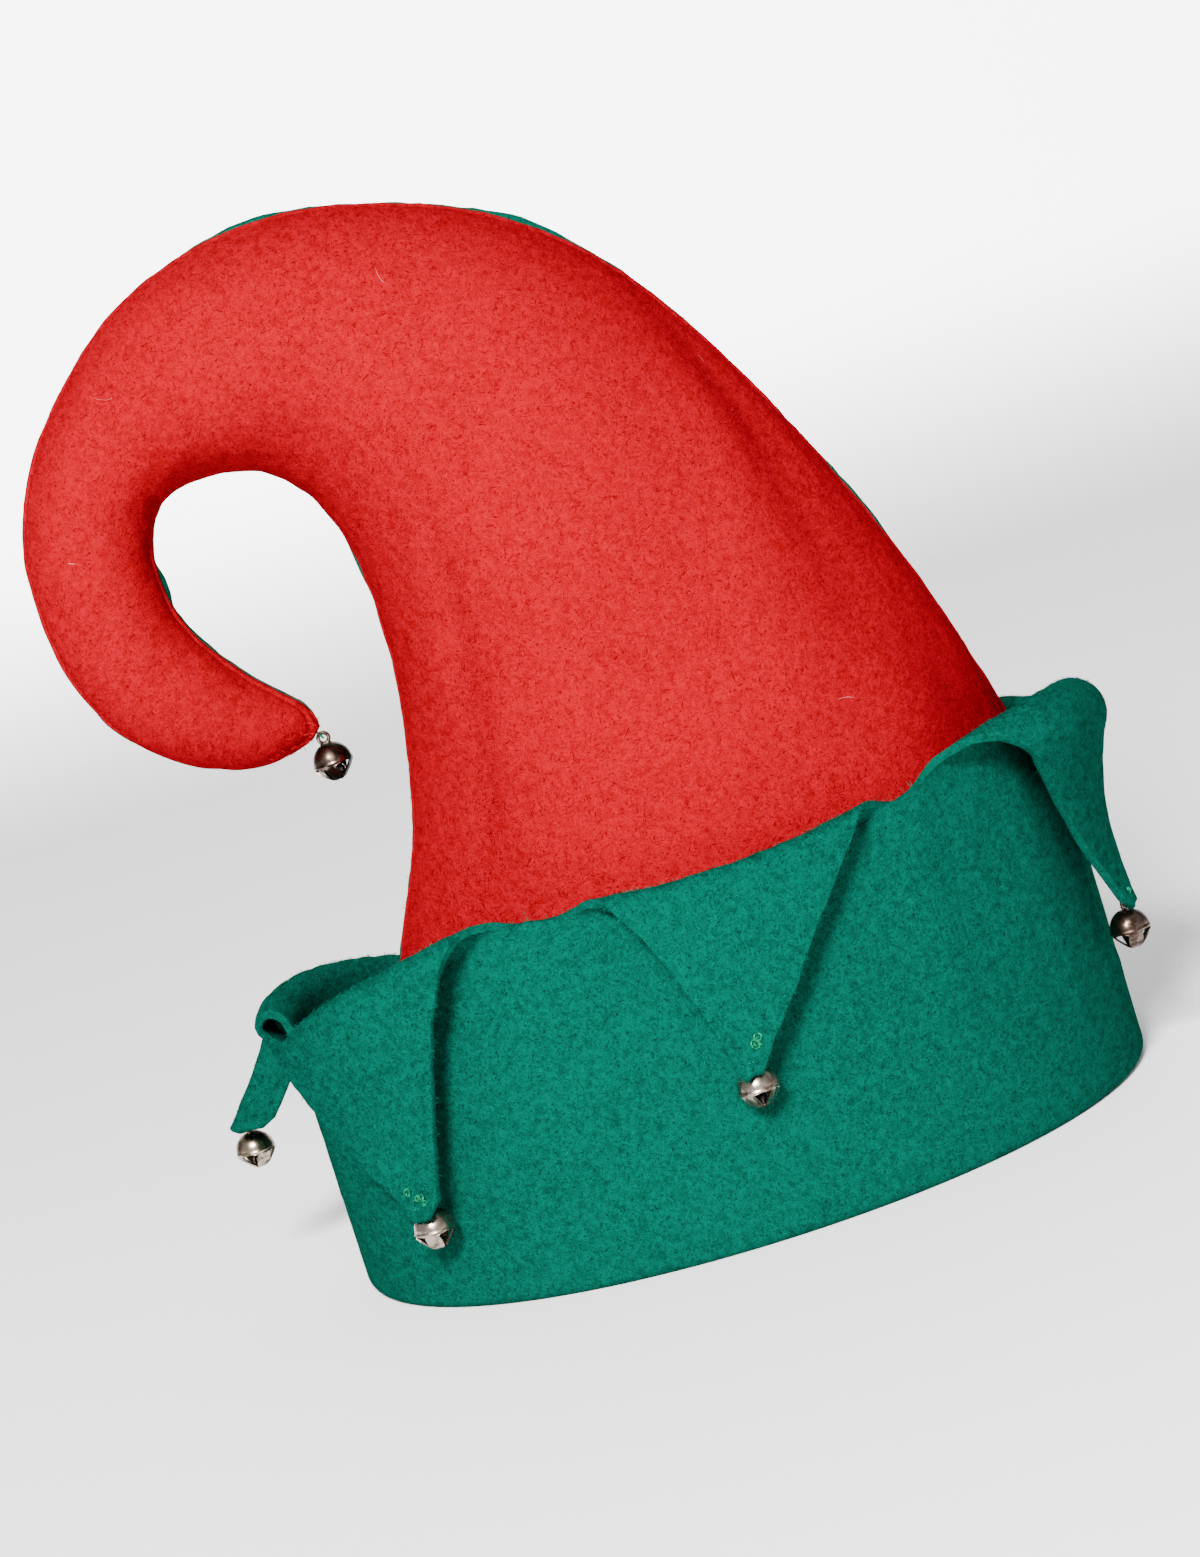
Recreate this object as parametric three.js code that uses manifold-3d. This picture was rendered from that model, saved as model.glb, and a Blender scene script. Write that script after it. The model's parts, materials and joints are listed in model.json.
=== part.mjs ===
// Elf hat: a two-panel felt crown with a curled peak, a felt cuff cut into six turned-down points,
// and a jingle bell on each point and on the end of the peak.
// Millimetres, +Z up, the hat stands on its rim at z = 0, and its red front faces -Y.

import * as THREE from 'three';
import { mergeVertices } from 'three/addons/utils/BufferGeometryUtils.js';
import Module from 'manifold-3d';

// Driving dimensions

const rimWidth = 198; // outside of the cuff at the rim, left to right
const rimDepth = 184; // outside of the cuff at the rim, front to back
const rimSquareness = 0.01; // how much wider than an ellipse the hat is at its four corners
const feltThickness = 2;
const clearance = 0.3; // between two pieces that touch
const bellRoom = 0.45; // between a bell and the felt round it

const bendHeight = 226; // rim to the crown's centre line at the top of the bend
const peakReach = 110; // middle of the rim to the centre line at the peak's far side

const cuffHeight = 88; // rim to the top of the folded points at the front
const cuffLean = 5.5; // how far the cuff leans in at the front and back, over its height
const lipHeight = 8; // the cuff's edge that is turned up inside the rim
const rimCorner = 1.3; // size of the rounded corners under the rim
const pointLength = 60; // cut length of a point, from its fold to its tip
const foldRadius = 3; // smallest fold of a point, to the middle of the felt

const bellDiameter = 10;
const bellWall = 0.5;
const slitWidth = 1;
const slitEnd = 0.5; // how far below a bell's middle its slits end
const slitHole = 2.6; // width of the hole where the two slits cross
const loopRadius = 1.3; // middle of the wire loop on a bell
const loopWire = 0.8; // thickness of that wire
const pelletDiameter = 3;
const peakBellTilt = -22; // degrees; the peak's bell leans on its thread, with its slits to the right

// Mesh density

const crownRows = 33; // rings along the crown
const panelColumns = 14; // steps around one crown panel
const pointColumns = 8; // steps across one point of the cuff
const wallRows = 3;
const rollRows = 5;
const hangRows = 4;
const bellSides = 10;
const bellRows = 7; // steps from a bell's top to its hole
const loopSteps = 9; // steps round a loop
const wireSides = 5;

// The crown's centre line and its sections, from the top of its straight foot to the tip: x as a share of
// peakReach, z of the rise from that foot to bendHeight, width and depth of the crown's own at the rim,
// and turn as the degrees that the section is tipped over to the left.

const crownTable = [
  { x: 0.0, z: 0.0, width: 1.0, depth: 1.0, turn: 0 },
  { x: 0.031, z: 0.082, width: 0.961, depth: 0.972, turn: 0.5 },
  { x: 0.067, z: 0.17, width: 0.912, depth: 0.933, turn: 1 },
  { x: 0.096, z: 0.258, width: 0.858, depth: 0.894, turn: 1.8 },
  { x: 0.115, z: 0.344, width: 0.801, depth: 0.849, turn: 2.6 },
  { x: 0.123, z: 0.434, width: 0.733, depth: 0.796, turn: 4.9 },
  { x: 0.115, z: 0.509, width: 0.684, depth: 0.749, turn: 7 },
  { x: 0.095, z: 0.583, width: 0.636, depth: 0.704, turn: 10 },
  { x: 0.057, z: 0.671, width: 0.582, depth: 0.654, turn: 15.5 },
  { x: -0.001, z: 0.764, width: 0.531, depth: 0.598, turn: 23 },
  { x: -0.083, z: 0.849, width: 0.486, depth: 0.542, turn: 34.6 },
  { x: -0.197, z: 0.918, width: 0.431, depth: 0.48, turn: 47.2 },
  { x: -0.325, z: 0.965, width: 0.37, depth: 0.419, turn: 58.4 },
  { x: -0.462, z: 0.994, width: 0.32, depth: 0.369, turn: 69 },
  { x: -0.598, z: 0.998, width: 0.281, depth: 0.33, turn: 81 },
  { x: -0.738, z: 0.982, width: 0.237, depth: 0.291, turn: 95.5 },
  { x: -0.853, z: 0.947, width: 0.188, depth: 0.243, turn: 116 },
  { x: -0.94, z: 0.899, width: 0.165, depth: 0.212, turn: 141 },
  { x: -0.99, z: 0.84, width: 0.161, depth: 0.201, turn: 161 },
  { x: -0.999, z: 0.781, width: 0.156, depth: 0.196, turn: 176 },
  { x: -0.985, z: 0.727, width: 0.156, depth: 0.193, turn: 191 },
  { x: -0.945, z: 0.678, width: 0.155, depth: 0.19, turn: 204 },
  { x: -0.89, z: 0.641, width: 0.146, depth: 0.179, turn: 212 },
  { x: -0.827, z: 0.611, width: 0.131, depth: 0.159, turn: 217 },
  { x: -0.757, z: 0.587, width: 0.112, depth: 0.131, turn: 221 },
  { x: -0.695, z: 0.571, width: 0.089, depth: 0.101, turn: 225 },
  { x: -0.645, z: 0.557, width: 0.042, depth: 0.045, turn: 226 },
];

// Soft dents and rises of the crown: along is the share of the table's length, around is degrees from
// the outer seam over the front to the inner seam, and depth is a share of the felt's thickness.

const crownDents = [
  { along: 0.16, around: 148, depth: 1.0, length: 0.09, spread: 16 },
  { along: 0.2, around: 118, depth: -0.5, length: 0.12, spread: 18 },
  { along: 0.2, around: 24, depth: 0.9, length: 0.12, spread: 13 },
  { along: 0.48, around: 140, depth: 1.1, length: 0.04, spread: 26 },
  { along: 0.57, around: 160, depth: 0.8, length: 0.03, spread: 24 },
];

// The six points, anticlockwise seen from above, from the back left. at is the middle of a point and cut
// the place where the next one starts, in degrees from the front towards the right. ridge and valley are
// heights as shares of cuffHeight: of the fold's top in the middle of the point, and of the cut after it.
// roll is in fold radii. length, out and tuck are shares of pointLength: the point's cut length, how far
// its tip stands off beyond what its bell needs, and how far the middle of its hanging run is drawn in.
// flare is 0 where the run slopes out evenly and 1 where only its end turns out. over is how far the tip
// hangs down over its bell, as a share of the bell's radius, and below 0 where it ends above the bell.
// sway is how far the tip swings round the cuff, in degrees. leftCut and rightCut are above 1 where the cut
// edge on that side is hollow and below 1 where it bulges, and leftBlunt and rightBlunt are the shares of
// the half that keep the full length. curl is how far the right half of the run bends in.

const pointTable = [
  {
    at: -110, cut: -78, ridge: 0.818, valley: 0.68, roll: 1.5, length: 0.752,
    out: 0.31, tuck: 0.02, flare: 0, over: -0.4, sway: 3,
    leftCut: 1, rightCut: 2, leftBlunt: 0.05, rightBlunt: 0.3, curl: 0.24,
  },
  {
    at: -50, cut: -21, ridge: 0.92, valley: 0.985, roll: 2, length: 1.11,
    out: 0, tuck: 0, flare: 0, over: 0.3, sway: 4,
    leftCut: 1.25, rightCut: 1.8, leftBlunt: 0.06, rightBlunt: 0.11, curl: 0,
  },
  {
    at: 6.5, cut: 34.5, ridge: 0.985, valley: 0.985, roll: 1.2, length: 0.88,
    out: 0, tuck: 0, flare: 0, over: 0.3, sway: -4,
    leftCut: 2.5, rightCut: 1.45, leftBlunt: 0.06, rightBlunt: 0.06, curl: 0,
  },
  {
    at: 64, cut: 94, ridge: 1.085, valley: 0.92, roll: 2.6, length: 1.2,
    out: 0.065, tuck: 0.1, flare: 1, over: -0.1, sway: 7,
    leftCut: 2.2, rightCut: 1, leftBlunt: 0.06, rightBlunt: 0.06, curl: 0,
  },
  {
    at: 124, cut: 154, ridge: 0.96, valley: 0.9, roll: 1.5, length: 0.95,
    out: 0.04, tuck: 0, flare: 0.3, over: 0.3, sway: -3,
    leftCut: 1.15, rightCut: 1.15, leftBlunt: 0.06, rightBlunt: 0.06, curl: 0,
  },
  {
    at: 186, cut: 218, ridge: 0.84, valley: 0.63, roll: 1.3, length: 0.92,
    out: 0.03, tuck: 0, flare: 0.2, over: 0.3, sway: 3,
    leftCut: 1.15, rightCut: 1.15, leftBlunt: 0.06, rightBlunt: 0.06, curl: 0,
  },
];

// Worked out from the values above

const halfFelt = feltThickness / 2;
const bellRadius = bellDiameter / 2;
const facetRoom = (sides) => (rimWidth / 2) * (1 - Math.cos(Math.PI / sides)); // a flat side's dip
const crownInset = feltThickness + clearance + facetRoom(pointTable.length * pointColumns);
const lipInset = crownInset + feltThickness + clearance + facetRoom(2 * panelColumns);
const crownWidth = rimWidth - 2 * crownInset;
const crownDepth = rimDepth - 2 * crownInset - clearance;
const crownLift = feltThickness + rimCorner;
const footTop = lipHeight + feltThickness + clearance;
const loopRise = bellRadius + loopRadius - loopWire / 2; // bell's centre to its loop's centre
const loopBehind = halfFelt + bellRoom + loopWire; // middle of a point's felt to its loop's middle
const bellStandOff = halfFelt + bellRoom + bellRadius + loopBehind; // from the wall's felt to the point's
const tipRise = (over) => bellRadius * (1 - over) + bellRoom; // bell's centre up to its point's tip
const tipOut = (over) => {
  const square = (bellRadius + bellRoom) ** 2 - tipRise(over) ** 2;
  return Math.sqrt(Math.max(0, square)) + halfFelt; // bell's axis out to that tip
};

const degrees = THREE.MathUtils.degToRad;
const mix = THREE.MathUtils.lerp;
const easeTo = (value, end) => THREE.MathUtils.smoothstep(value, 0, end);
const cornering = (angle) => 1 + rimSquareness * Math.sin(2 * angle) ** 2;

// Materials

const felt = (color) => new THREE.MeshStandardMaterial({ color, roughness: 0.95, metalness: 0 });
const redFelt = felt(0xd8262c);
const greenFelt = felt(0x0a7360);
const bellMetal = new THREE.MeshStandardMaterial({ color: 0x9a8d82, roughness: 0.35, metalness: 1 });
const pelletMetal = new THREE.MeshStandardMaterial({ color: 0x77736e, roughness: 0.4, metalness: 1 });

// A closed geometry from merged vertices, without the triangles that a merge has emptied.

function cleanGeometry(positions, triangles) {
  const raw = new THREE.BufferGeometry();
  raw.setAttribute('position', new THREE.Float32BufferAttribute(positions, 3));
  raw.setIndex(triangles);
  const merged = mergeVertices(raw, 1e-3);
  const old = merged.index.array;
  const kept = [];
  for (let i = 0; i < old.length; i += 3) {
    const [a, b, c] = [old[i], old[i + 1], old[i + 2]];
    if (a !== b && b !== c && c !== a) kept.push(a, b, c);
  }
  merged.setIndex(kept);
  return merged;
}

// Felt as a closed solid: at(row, column) gives a point in the middle of the felt and the way from there
// to its outer face. closed joins the last column to the first.

function feltSheet(rows, columns, closed, at) {
  const positions = [];
  const triangles = [];
  const across = closed ? columns : columns + 1;
  for (const side of [1, -1]) {
    for (let i = 0; i <= rows; i++) {
      for (let j = 0; j < across; j++) {
        const { point, outward } = at(i, j);
        positions.push(...point.clone().addScaledVector(outward, side * halfFelt).toArray());
      }
    }
  }
  const layer = (rows + 1) * across;
  const outer = (i, j) => i * across + (j % across);
  const inner = (i, j) => layer + outer(i, j);
  const quad = (a, b, c, d) => triangles.push(a, b, c, a, c, d);
  for (let j = 0; j < columns; j++) {
    for (let i = 0; i < rows; i++) {
      quad(outer(i, j), outer(i, j + 1), outer(i + 1, j + 1), outer(i + 1, j));
      quad(inner(i, j), inner(i + 1, j), inner(i + 1, j + 1), inner(i, j + 1));
    }
    quad(outer(0, j), inner(0, j), inner(0, j + 1), outer(0, j + 1));
    quad(outer(rows, j), outer(rows, j + 1), inner(rows, j + 1), inner(rows, j));
  }
  if (!closed) {
    for (let i = 0; i < rows; i++) {
      quad(outer(i, 0), outer(i + 1, 0), inner(i + 1, 0), inner(i, 0));
      quad(outer(i, columns), inner(i, columns), inner(i + 1, columns), outer(i + 1, columns));
    }
  }
  return cleanGeometry(positions, triangles);
}

// The crown: a tube along a bent centre line, as two panels that meet in the plane y = 0.

const crownLine = new THREE.CatmullRomCurve3(
  crownTable.map(({ x, z }) => new THREE.Vector3(x * peakReach, 0, mix(footTop, bendHeight, z))),
);
const crownSection = new THREE.CatmullRomCurve3(
  crownTable.map(({ width, depth, turn }) => new THREE.Vector3(width * crownWidth, depth * crownDepth, turn)),
);

function crownDent(along, around) {
  let depth = 0;
  for (const dent of crownDents) {
    const far = (along - dent.along) / dent.length;
    const wide = (around - dent.around) / dent.spread;
    depth += dent.depth * feltThickness * Math.exp(-far * far - wide * wide);
  }
  return depth;
}

function crownPoint(along, around, side) {
  const centre = crownLine.getPoint(along);
  const section = crownSection.getPoint(along);
  const turn = degrees(section.z);
  const across = new THREE.Vector3(Math.cos(turn), 0, Math.sin(turn));
  const facing = new THREE.Vector3(0, side, 0);
  const halfWidth = Math.max(section.x / 2 - halfFelt, halfFelt);
  const halfDepth = Math.max(section.y / 2 - halfFelt, halfFelt);
  const angle = degrees(around);
  const outward = across.clone().multiplyScalar(Math.cos(angle) / halfWidth);
  outward.addScaledVector(facing, Math.sin(angle) / halfDepth).normalize();
  const corner = cornering(angle);
  const point = centre.addScaledVector(across, corner * halfWidth * Math.cos(angle));
  point.addScaledVector(facing, corner * halfDepth * Math.sin(angle) + clearance / 2);
  const dent = side < 0 ? crownDent(along, around) * Math.sin(angle) : 0;
  point.addScaledVector(outward, -dent);
  return { point, outward };
}

function crownPanel(side) {
  return feltSheet(crownRows + 1, panelColumns, false, (i, j) => {
    const step = side < 0 ? panelColumns - j : j;
    const place = crownPoint(Math.max(i - 1, 0) / crownRows, (180 * step) / panelColumns, side);
    if (i === 0) place.point.z = crownLift;
    return place;
  });
}

// The cuff: one strip that runs up inside the rim, under it and up outside, and ends in six points that
// roll over and hang down. Its columns stand in planes square to the rim's outline.

const rimPoint = (angle) => new THREE.Vector3(
  (rimWidth / 2) * Math.sin(angle), (-rimDepth / 2) * Math.cos(angle), 0,
).multiplyScalar(cornering(angle));
const rimOutward = (angle) => new THREE.Vector3(
  Math.sin(angle) / rimWidth, -Math.cos(angle) / rimDepth, 0,
).normalize();
const wallOut = (angle, z) => {
  const leaning = Math.max(0, z - footTop) / (cuffHeight - footTop);
  return -halfFelt - cuffLean * Math.cos(angle) ** 2 * leaning;
};

// Where a column lies on its point: share is -1 and 1 at the cuts and 0 in the middle.

function pointColumn(index, share) {
  const before = pointTable[(index + pointTable.length - 1) % pointTable.length];
  const here = pointTable[index];
  const leftWidth = (here.at - before.cut + 360) % 360;
  const rightWidth = here.cut - here.at;
  const angle = degrees(here.at + share * (share < 0 ? leftWidth : rightWidth));
  const fade = share < 0 ? share ** 2 : share ** 4; // a point stays rolled wider on its right
  const roll = mix(foldRadius * here.roll, foldRadius * Math.min(here.roll, 1), fade);
  const middleTop = here.ridge * cuffHeight - foldRadius * here.roll - halfFelt;
  const [leftTop, rightTop] = [before.valley * cuffHeight, here.valley * cuffHeight];
  const slope = (rightTop - leftTop) / 2;
  const bow = (leftTop + rightTop) / 2 - middleTop;
  const top = middleTop + slope * share + bow * share * share;
  const edge = share < 0 ? here.leftCut : here.rightCut;
  const blunt = share < 0 ? here.leftBlunt : here.rightBlunt;
  const kept = Math.max(0, (Math.abs(share) - blunt) / (1 - blunt));
  const length = here.length * pointLength * (1 - kept) ** edge;
  return { point: here, angle, roll, top, length };
}

// How a point hangs: the run from the end of its roll to its bell's loop, sloping out so that the bell
// clears the wall behind it. out gives the way out at a share of the run, fall is how much of the felt's
// length goes downward, lean is the slope where the run starts, and endSlope where an unflared one ends.

function pointHang(index) {
  const { point, angle, roll, top, length } = pointColumn(index, 0);
  const run = length - Math.PI * roll - (loopRise - tipRise(point.over));
  const wallGain = wallOut(angle, top - run) - wallOut(angle, top);
  const need = bellStandOff + halfFelt + wallGain + point.out * pointLength - 2 * roll;
  const tuck = 4 * point.tuck * pointLength;
  const out = (share) => need * mix(share, share ** 3, point.flare) - tuck * share * (1 - share);
  const fall = run / Math.hypot(run, need);
  const lean = Math.atan((need * (1 - point.flare) - tuck) / run);
  const endSlope = ((need + tuck) * (1 - point.flare)) / run;
  return { run, out, fall, lean, endSlope };
}

// The middle of the felt along one column, as [out, up, along the point] from the rim's outline.

function cuffColumn(index, share) {
  const column = pointColumn(index, share);
  const { angle, roll, top, length } = column;
  const hang = pointHang(index);
  const lipOut = -lipInset - halfFelt;
  const wallFoot = wallOut(angle, 0);
  const path = [
    [lipOut, lipHeight, 0],
    [lipOut, halfFelt + rimCorner, 0],
    [lipOut + rimCorner, halfFelt, 0],
    [wallFoot - rimCorner, halfFelt, 0],
    [wallFoot, halfFelt + rimCorner, 0],
    [wallFoot, footTop, 0],
  ];
  for (let i = 1; i <= wallRows; i++) {
    const z = mix(footTop, top, i / wallRows);
    path.push([wallOut(angle, z), z, 0]);
  }
  const fold = path[path.length - 1];
  const rolled = Math.min(length, (Math.PI - hang.lean) * roll);
  for (let i = 1; i <= rollRows; i++) {
    const s = (rolled * i) / rollRows;
    const bend = s / roll;
    path.push([fold[0] + roll * (1 - Math.cos(bend)), fold[1] + roll * Math.sin(bend), s]);
  }
  const end = path[path.length - 1];
  const lift = Math.max(0, tipOut(column.point.over) - loopBehind);
  const liftLength = 2 * (loopRise - tipRise(column.point.over));
  for (let i = 1; i <= hangRows; i++) {
    const run = ((length - rolled) * i) / hangRows;
    const s = rolled + run;
    const fromTip = Math.max(0, 1 - (column.point.length * pointLength - s) / liftLength);
    const bend = easeTo(share - 0.18, 0.2) * easeTo(run / hang.run, 0.35);
    const curl = column.point.curl * pointLength * bend;
    const out = end[0] + hang.out(run / hang.run) + lift * fromTip ** 2 - curl;
    path.push([out, end[1] - run * hang.fall, s]);
  }
  return { ...column, path };
}

// The way across the felt at each place of a path, longer at a bend so that the felt keeps its thickness.

function pathNormals(path) {
  const normals = [];
  let last = [1, 0];
  const ways = path.slice(1).map((p, i) => {
    const way = [p[0] - path[i][0], p[1] - path[i][1]];
    const size = Math.hypot(...way);
    if (size > 1e-6) last = [way[1] / size, -way[0] / size];
    return last;
  });
  for (let i = 0; i < path.length; i++) {
    const before = ways[Math.max(i - 1, 0)];
    const after = ways[Math.min(i, ways.length - 1)];
    const sum = [before[0] + after[0], before[1] + after[1]];
    const scale = 2 / (sum[0] ** 2 + sum[1] ** 2);
    normals.push([sum[0] * scale, sum[1] * scale]);
  }
  return normals;
}

function cuffPlace(column, out, up, along) {
  const { point, angle } = column;
  const swung = angle + degrees(point.sway) * (along / (point.length * pointLength));
  return rimPoint(swung).addScaledVector(rimOutward(swung), out).setZ(up);
}

function cuffGeometry() {
  const columns = [];
  for (let index = 0; index < pointTable.length; index++) {
    for (let j = 0; j < pointColumns; j++) {
      const column = cuffColumn(index, (2 * j) / pointColumns - 1);
      column.normals = pathNormals(column.path);
      columns.push(column);
    }
  }
  const rows = columns[0].path.length - 1;
  return feltSheet(rows, columns.length, true, (i, j) => {
    const column = columns[j % columns.length];
    const [out, up, along] = column.path[i];
    const [outwardOut, outwardUp] = column.normals[i];
    const outward = rimOutward(column.angle).multiplyScalar(outwardOut).setZ(outwardUp);
    return { point: cuffPlace(column, out, up, along), outward };
  });
}

// Solids that are joined and cut

const wasm = await Module();
wasm.setup();

function solid(geometry) {
  const bare = geometry.clone();
  bare.deleteAttribute('normal');
  bare.deleteAttribute('uv');
  const merged = mergeVertices(bare, 1e-4);
  const vertProperties = new Float32Array(merged.attributes.position.array);
  const triVerts = new Uint32Array(merged.index.array);
  return new wasm.Manifold(new wasm.Mesh({ numProp: 3, vertProperties, triVerts }));
}

function fromSolid(shape) {
  const { vertProperties, triVerts } = shape.getMesh();
  return cleanGeometry(Array.from(vertProperties), Array.from(triVerts));
}

// A jingle bell round its own centre: a thin shell with a hole and a cross slit below, and a loop on top
// in the plane y = 0.

function bellGeometry() {
  const arc = (radius, rows) => {
    const end = -Math.PI / 2 + Math.asin(slitHole / 2 / radius);
    return Array.from({ length: rows + 1 }, (_, i) => {
      const angle = mix(Math.PI / 2, end, i / rows);
      return new THREE.Vector2(i === 0 ? 0 : radius * Math.cos(angle), radius * Math.sin(angle));
    });
  };
  const outer = arc(bellRadius, bellRows);
  const inner = arc(bellRadius - bellWall, bellRows - 1);
  const shell = new THREE.LatheGeometry([...inner, ...outer.reverse()], bellSides);
  shell.rotateX(Math.PI / 2);
  let bell = solid(shell);
  const slitDepth = bellRadius + clearance - slitEnd;
  for (const turn of [0, Math.PI / 2]) {
    const slit = new THREE.BoxGeometry(bellDiameter + 2 * clearance, slitWidth, slitDepth);
    slit.translate(0, 0, -slitEnd - slitDepth / 2);
    slit.rotateZ(turn);
    bell = bell.subtract(solid(slit));
  }
  const loop = new THREE.TorusGeometry(loopRadius, loopWire / 2, wireSides, loopSteps);
  loop.rotateX(Math.PI / 2);
  loop.translate(0, 0, loopRise);
  return fromSolid(bell.add(solid(loop)));
}

const bellShape = bellGeometry();
const pelletShape = new THREE.IcosahedronGeometry(pelletDiameter / 2, 1);

// A bell hanging from its loop, with its pellet lying low inside.

function hangBell(name, loopPlace, turn, tilt) {
  const hung = new THREE.Group();
  const shell = new THREE.Mesh(bellShape, bellMetal);
  shell.name = `bell_${name}`;
  const pellet = new THREE.Mesh(pelletShape, pelletMetal);
  pellet.name = `pellet_${name}`;
  shell.position.z = -loopRise;
  pellet.position.z = -loopRise - (bellRadius - bellWall - clearance - pelletDiameter / 2);
  hung.add(shell, pellet);
  hung.rotation.set(0, tilt, turn, 'ZYX');
  hung.position.copy(loopPlace);
  return hung;
}

function pointBell(index) {
  const column = cuffColumn(index, 0);
  const { point, angle, path, length } = column;
  const hang = pointHang(index);
  const rollEnd = path[path.length - 1 - hangRows];
  const run = length - rollEnd[2] - (loopRise - tipRise(point.over));
  const slope = Math.max(0, hang.endSlope); // sloping felt is nearer the loop's top
  const slopeRoom = loopRadius * slope + halfFelt * (Math.hypot(1, slope) - 1);
  const out = rollEnd[0] + hang.out(run / hang.run) - loopBehind - slopeRoom;
  const place = cuffPlace(column, out, rollEnd[1] - run * hang.fall, rollEnd[2] + run);
  const swung = angle + degrees(point.sway);
  return hangBell(index + 1, place, swung, 0);
}

// The peak's bell, with its loop half inside the open tip.

function peakBell() {
  return hangBell('peak', crownLine.getPoint(1), 0, degrees(peakBellTilt));
}

// The hat, standing with its plan box centred on the origin

function named(name, geometry, material) {
  const mesh = new THREE.Mesh(geometry, material);
  mesh.name = name;
  return mesh;
}

const hat = new THREE.Group();
hat.add(
  named('crown_front_panel', crownPanel(-1), redFelt),
  named('crown_back_panel', crownPanel(1), greenFelt),
  named('cuff', cuffGeometry(), greenFelt),
  ...pointTable.map((point, index) => pointBell(index)),
  peakBell(),
);

hat.updateMatrixWorld(true);
const planBox = new THREE.Box3().setFromObject(hat);
const planCentre = planBox.getCenter(new THREE.Vector3());
hat.position.set(-planCentre.x, -planCentre.y, 0);

export default hat;
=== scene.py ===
# Elf hat of thick felt with jingle bells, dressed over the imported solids.
# Lengths in the dictionaries are millimetres and angles degrees, and meshes are written in metres.

import json
import math

import bmesh
import bpy
import numpy as np
from mathutils import Matrix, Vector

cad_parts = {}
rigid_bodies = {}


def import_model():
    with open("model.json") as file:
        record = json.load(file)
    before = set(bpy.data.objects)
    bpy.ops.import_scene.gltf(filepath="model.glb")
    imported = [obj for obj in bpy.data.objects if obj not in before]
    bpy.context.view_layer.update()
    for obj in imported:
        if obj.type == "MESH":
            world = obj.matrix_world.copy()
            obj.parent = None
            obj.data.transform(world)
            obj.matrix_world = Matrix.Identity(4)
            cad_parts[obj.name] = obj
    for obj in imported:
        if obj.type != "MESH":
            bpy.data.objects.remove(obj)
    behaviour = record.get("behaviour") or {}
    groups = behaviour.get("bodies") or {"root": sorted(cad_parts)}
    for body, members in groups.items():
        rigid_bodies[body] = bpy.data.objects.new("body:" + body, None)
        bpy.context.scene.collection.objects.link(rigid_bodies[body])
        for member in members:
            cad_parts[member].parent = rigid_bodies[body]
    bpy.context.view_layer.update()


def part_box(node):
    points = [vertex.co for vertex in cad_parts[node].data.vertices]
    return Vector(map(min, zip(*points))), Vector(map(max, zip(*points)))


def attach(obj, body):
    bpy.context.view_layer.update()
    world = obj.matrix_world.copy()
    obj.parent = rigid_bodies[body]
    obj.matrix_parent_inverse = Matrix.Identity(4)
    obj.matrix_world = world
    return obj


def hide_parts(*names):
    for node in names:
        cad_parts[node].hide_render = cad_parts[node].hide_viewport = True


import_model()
print("frame loaded")

felt = {"thickness": 2.0, "clearance": 0.3, "edgePush": 0.55}
halfFelt = felt["thickness"] / 2
hatShift = np.array([6.318, -0.970, 0.0])  # from the middle of the rim to the frame's origin
overFloor = 0.05  # the least height of a fibre or thread over the surface the hat rests on


# Camera: the picture is 1200 by 1557, seen from the front, a little from above, and turned so that the
# standing hat leans to the left in it.
shot = {"distance": 1300.0, "elevation": 8.3, "roll": 17.45, "focalPixels": 5369.0, "pixelsHigh": 1557.0,
        "sensor": 36.0, "target": (-8.5, 0.0, 101.2)}


def makeCamera(shot):
    tilt, roll = math.radians(shot["elevation"]), math.radians(shot["roll"])
    right = np.array([1.0, 0.0, 0.0])
    up = np.array([0.0, math.sin(tilt), math.cos(tilt)])
    ahead = np.array([0.0, math.cos(tilt), -math.sin(tilt)])
    place = (np.array(shot["target"]) + hatShift - shot["distance"] * ahead) / 1000
    data = bpy.data.cameras.new("camera")
    data.sensor_width = shot["sensor"]
    data.lens = shot["focalPixels"] / shot["pixelsHigh"] * shot["sensor"]
    data.clip_start, data.clip_end = 0.05, 50.0
    camera = bpy.data.objects.new("camera", data)
    bpy.context.scene.collection.objects.link(camera)
    turned = np.eye(4)
    turned[:3, 0] = math.cos(roll) * right - math.sin(roll) * up
    turned[:3, 1] = math.sin(roll) * right + math.cos(roll) * up
    turned[:3, 2] = -ahead
    turned[:3, 3] = place
    camera.matrix_world = Matrix(turned.tolist())
    bpy.context.scene.camera = camera


makeCamera(shot)
print("camera placed")


# Small tools

def smoothStep(value):
    value = np.clip(value, 0.0, 1.0)
    return value * value * (3 - 2 * value)


# A smooth curve through a table's rows: each stretch is a cubic whose end slopes are half the step from
# the row before it to the row after it.
def splineRows(table, share):
    rows = np.vstack([2 * table[0] - table[1], table, 2 * table[-1] - table[-2]])
    last = len(table) - 1
    place = np.clip(np.asarray(share, float), 0.0, 1.0) * last
    start = np.minimum(place.astype(int), last - 1)
    t = (place - start)[..., None]
    a, b, c, d = (rows[start + k] for k in range(4))
    return b + 0.5 * t * (c - a + t * (2 * a - 5 * b + 4 * c - d + t * (3 * (b - c) + d - a)))


def placePiece(name, mesh, material):
    mesh.polygons.foreach_set("use_smooth", np.ones(len(mesh.polygons), bool))
    piece = bpy.data.objects.new(name, mesh)
    bpy.context.scene.collection.objects.link(piece)
    mesh.materials.append(material)
    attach(piece, "root")
    return piece


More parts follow.
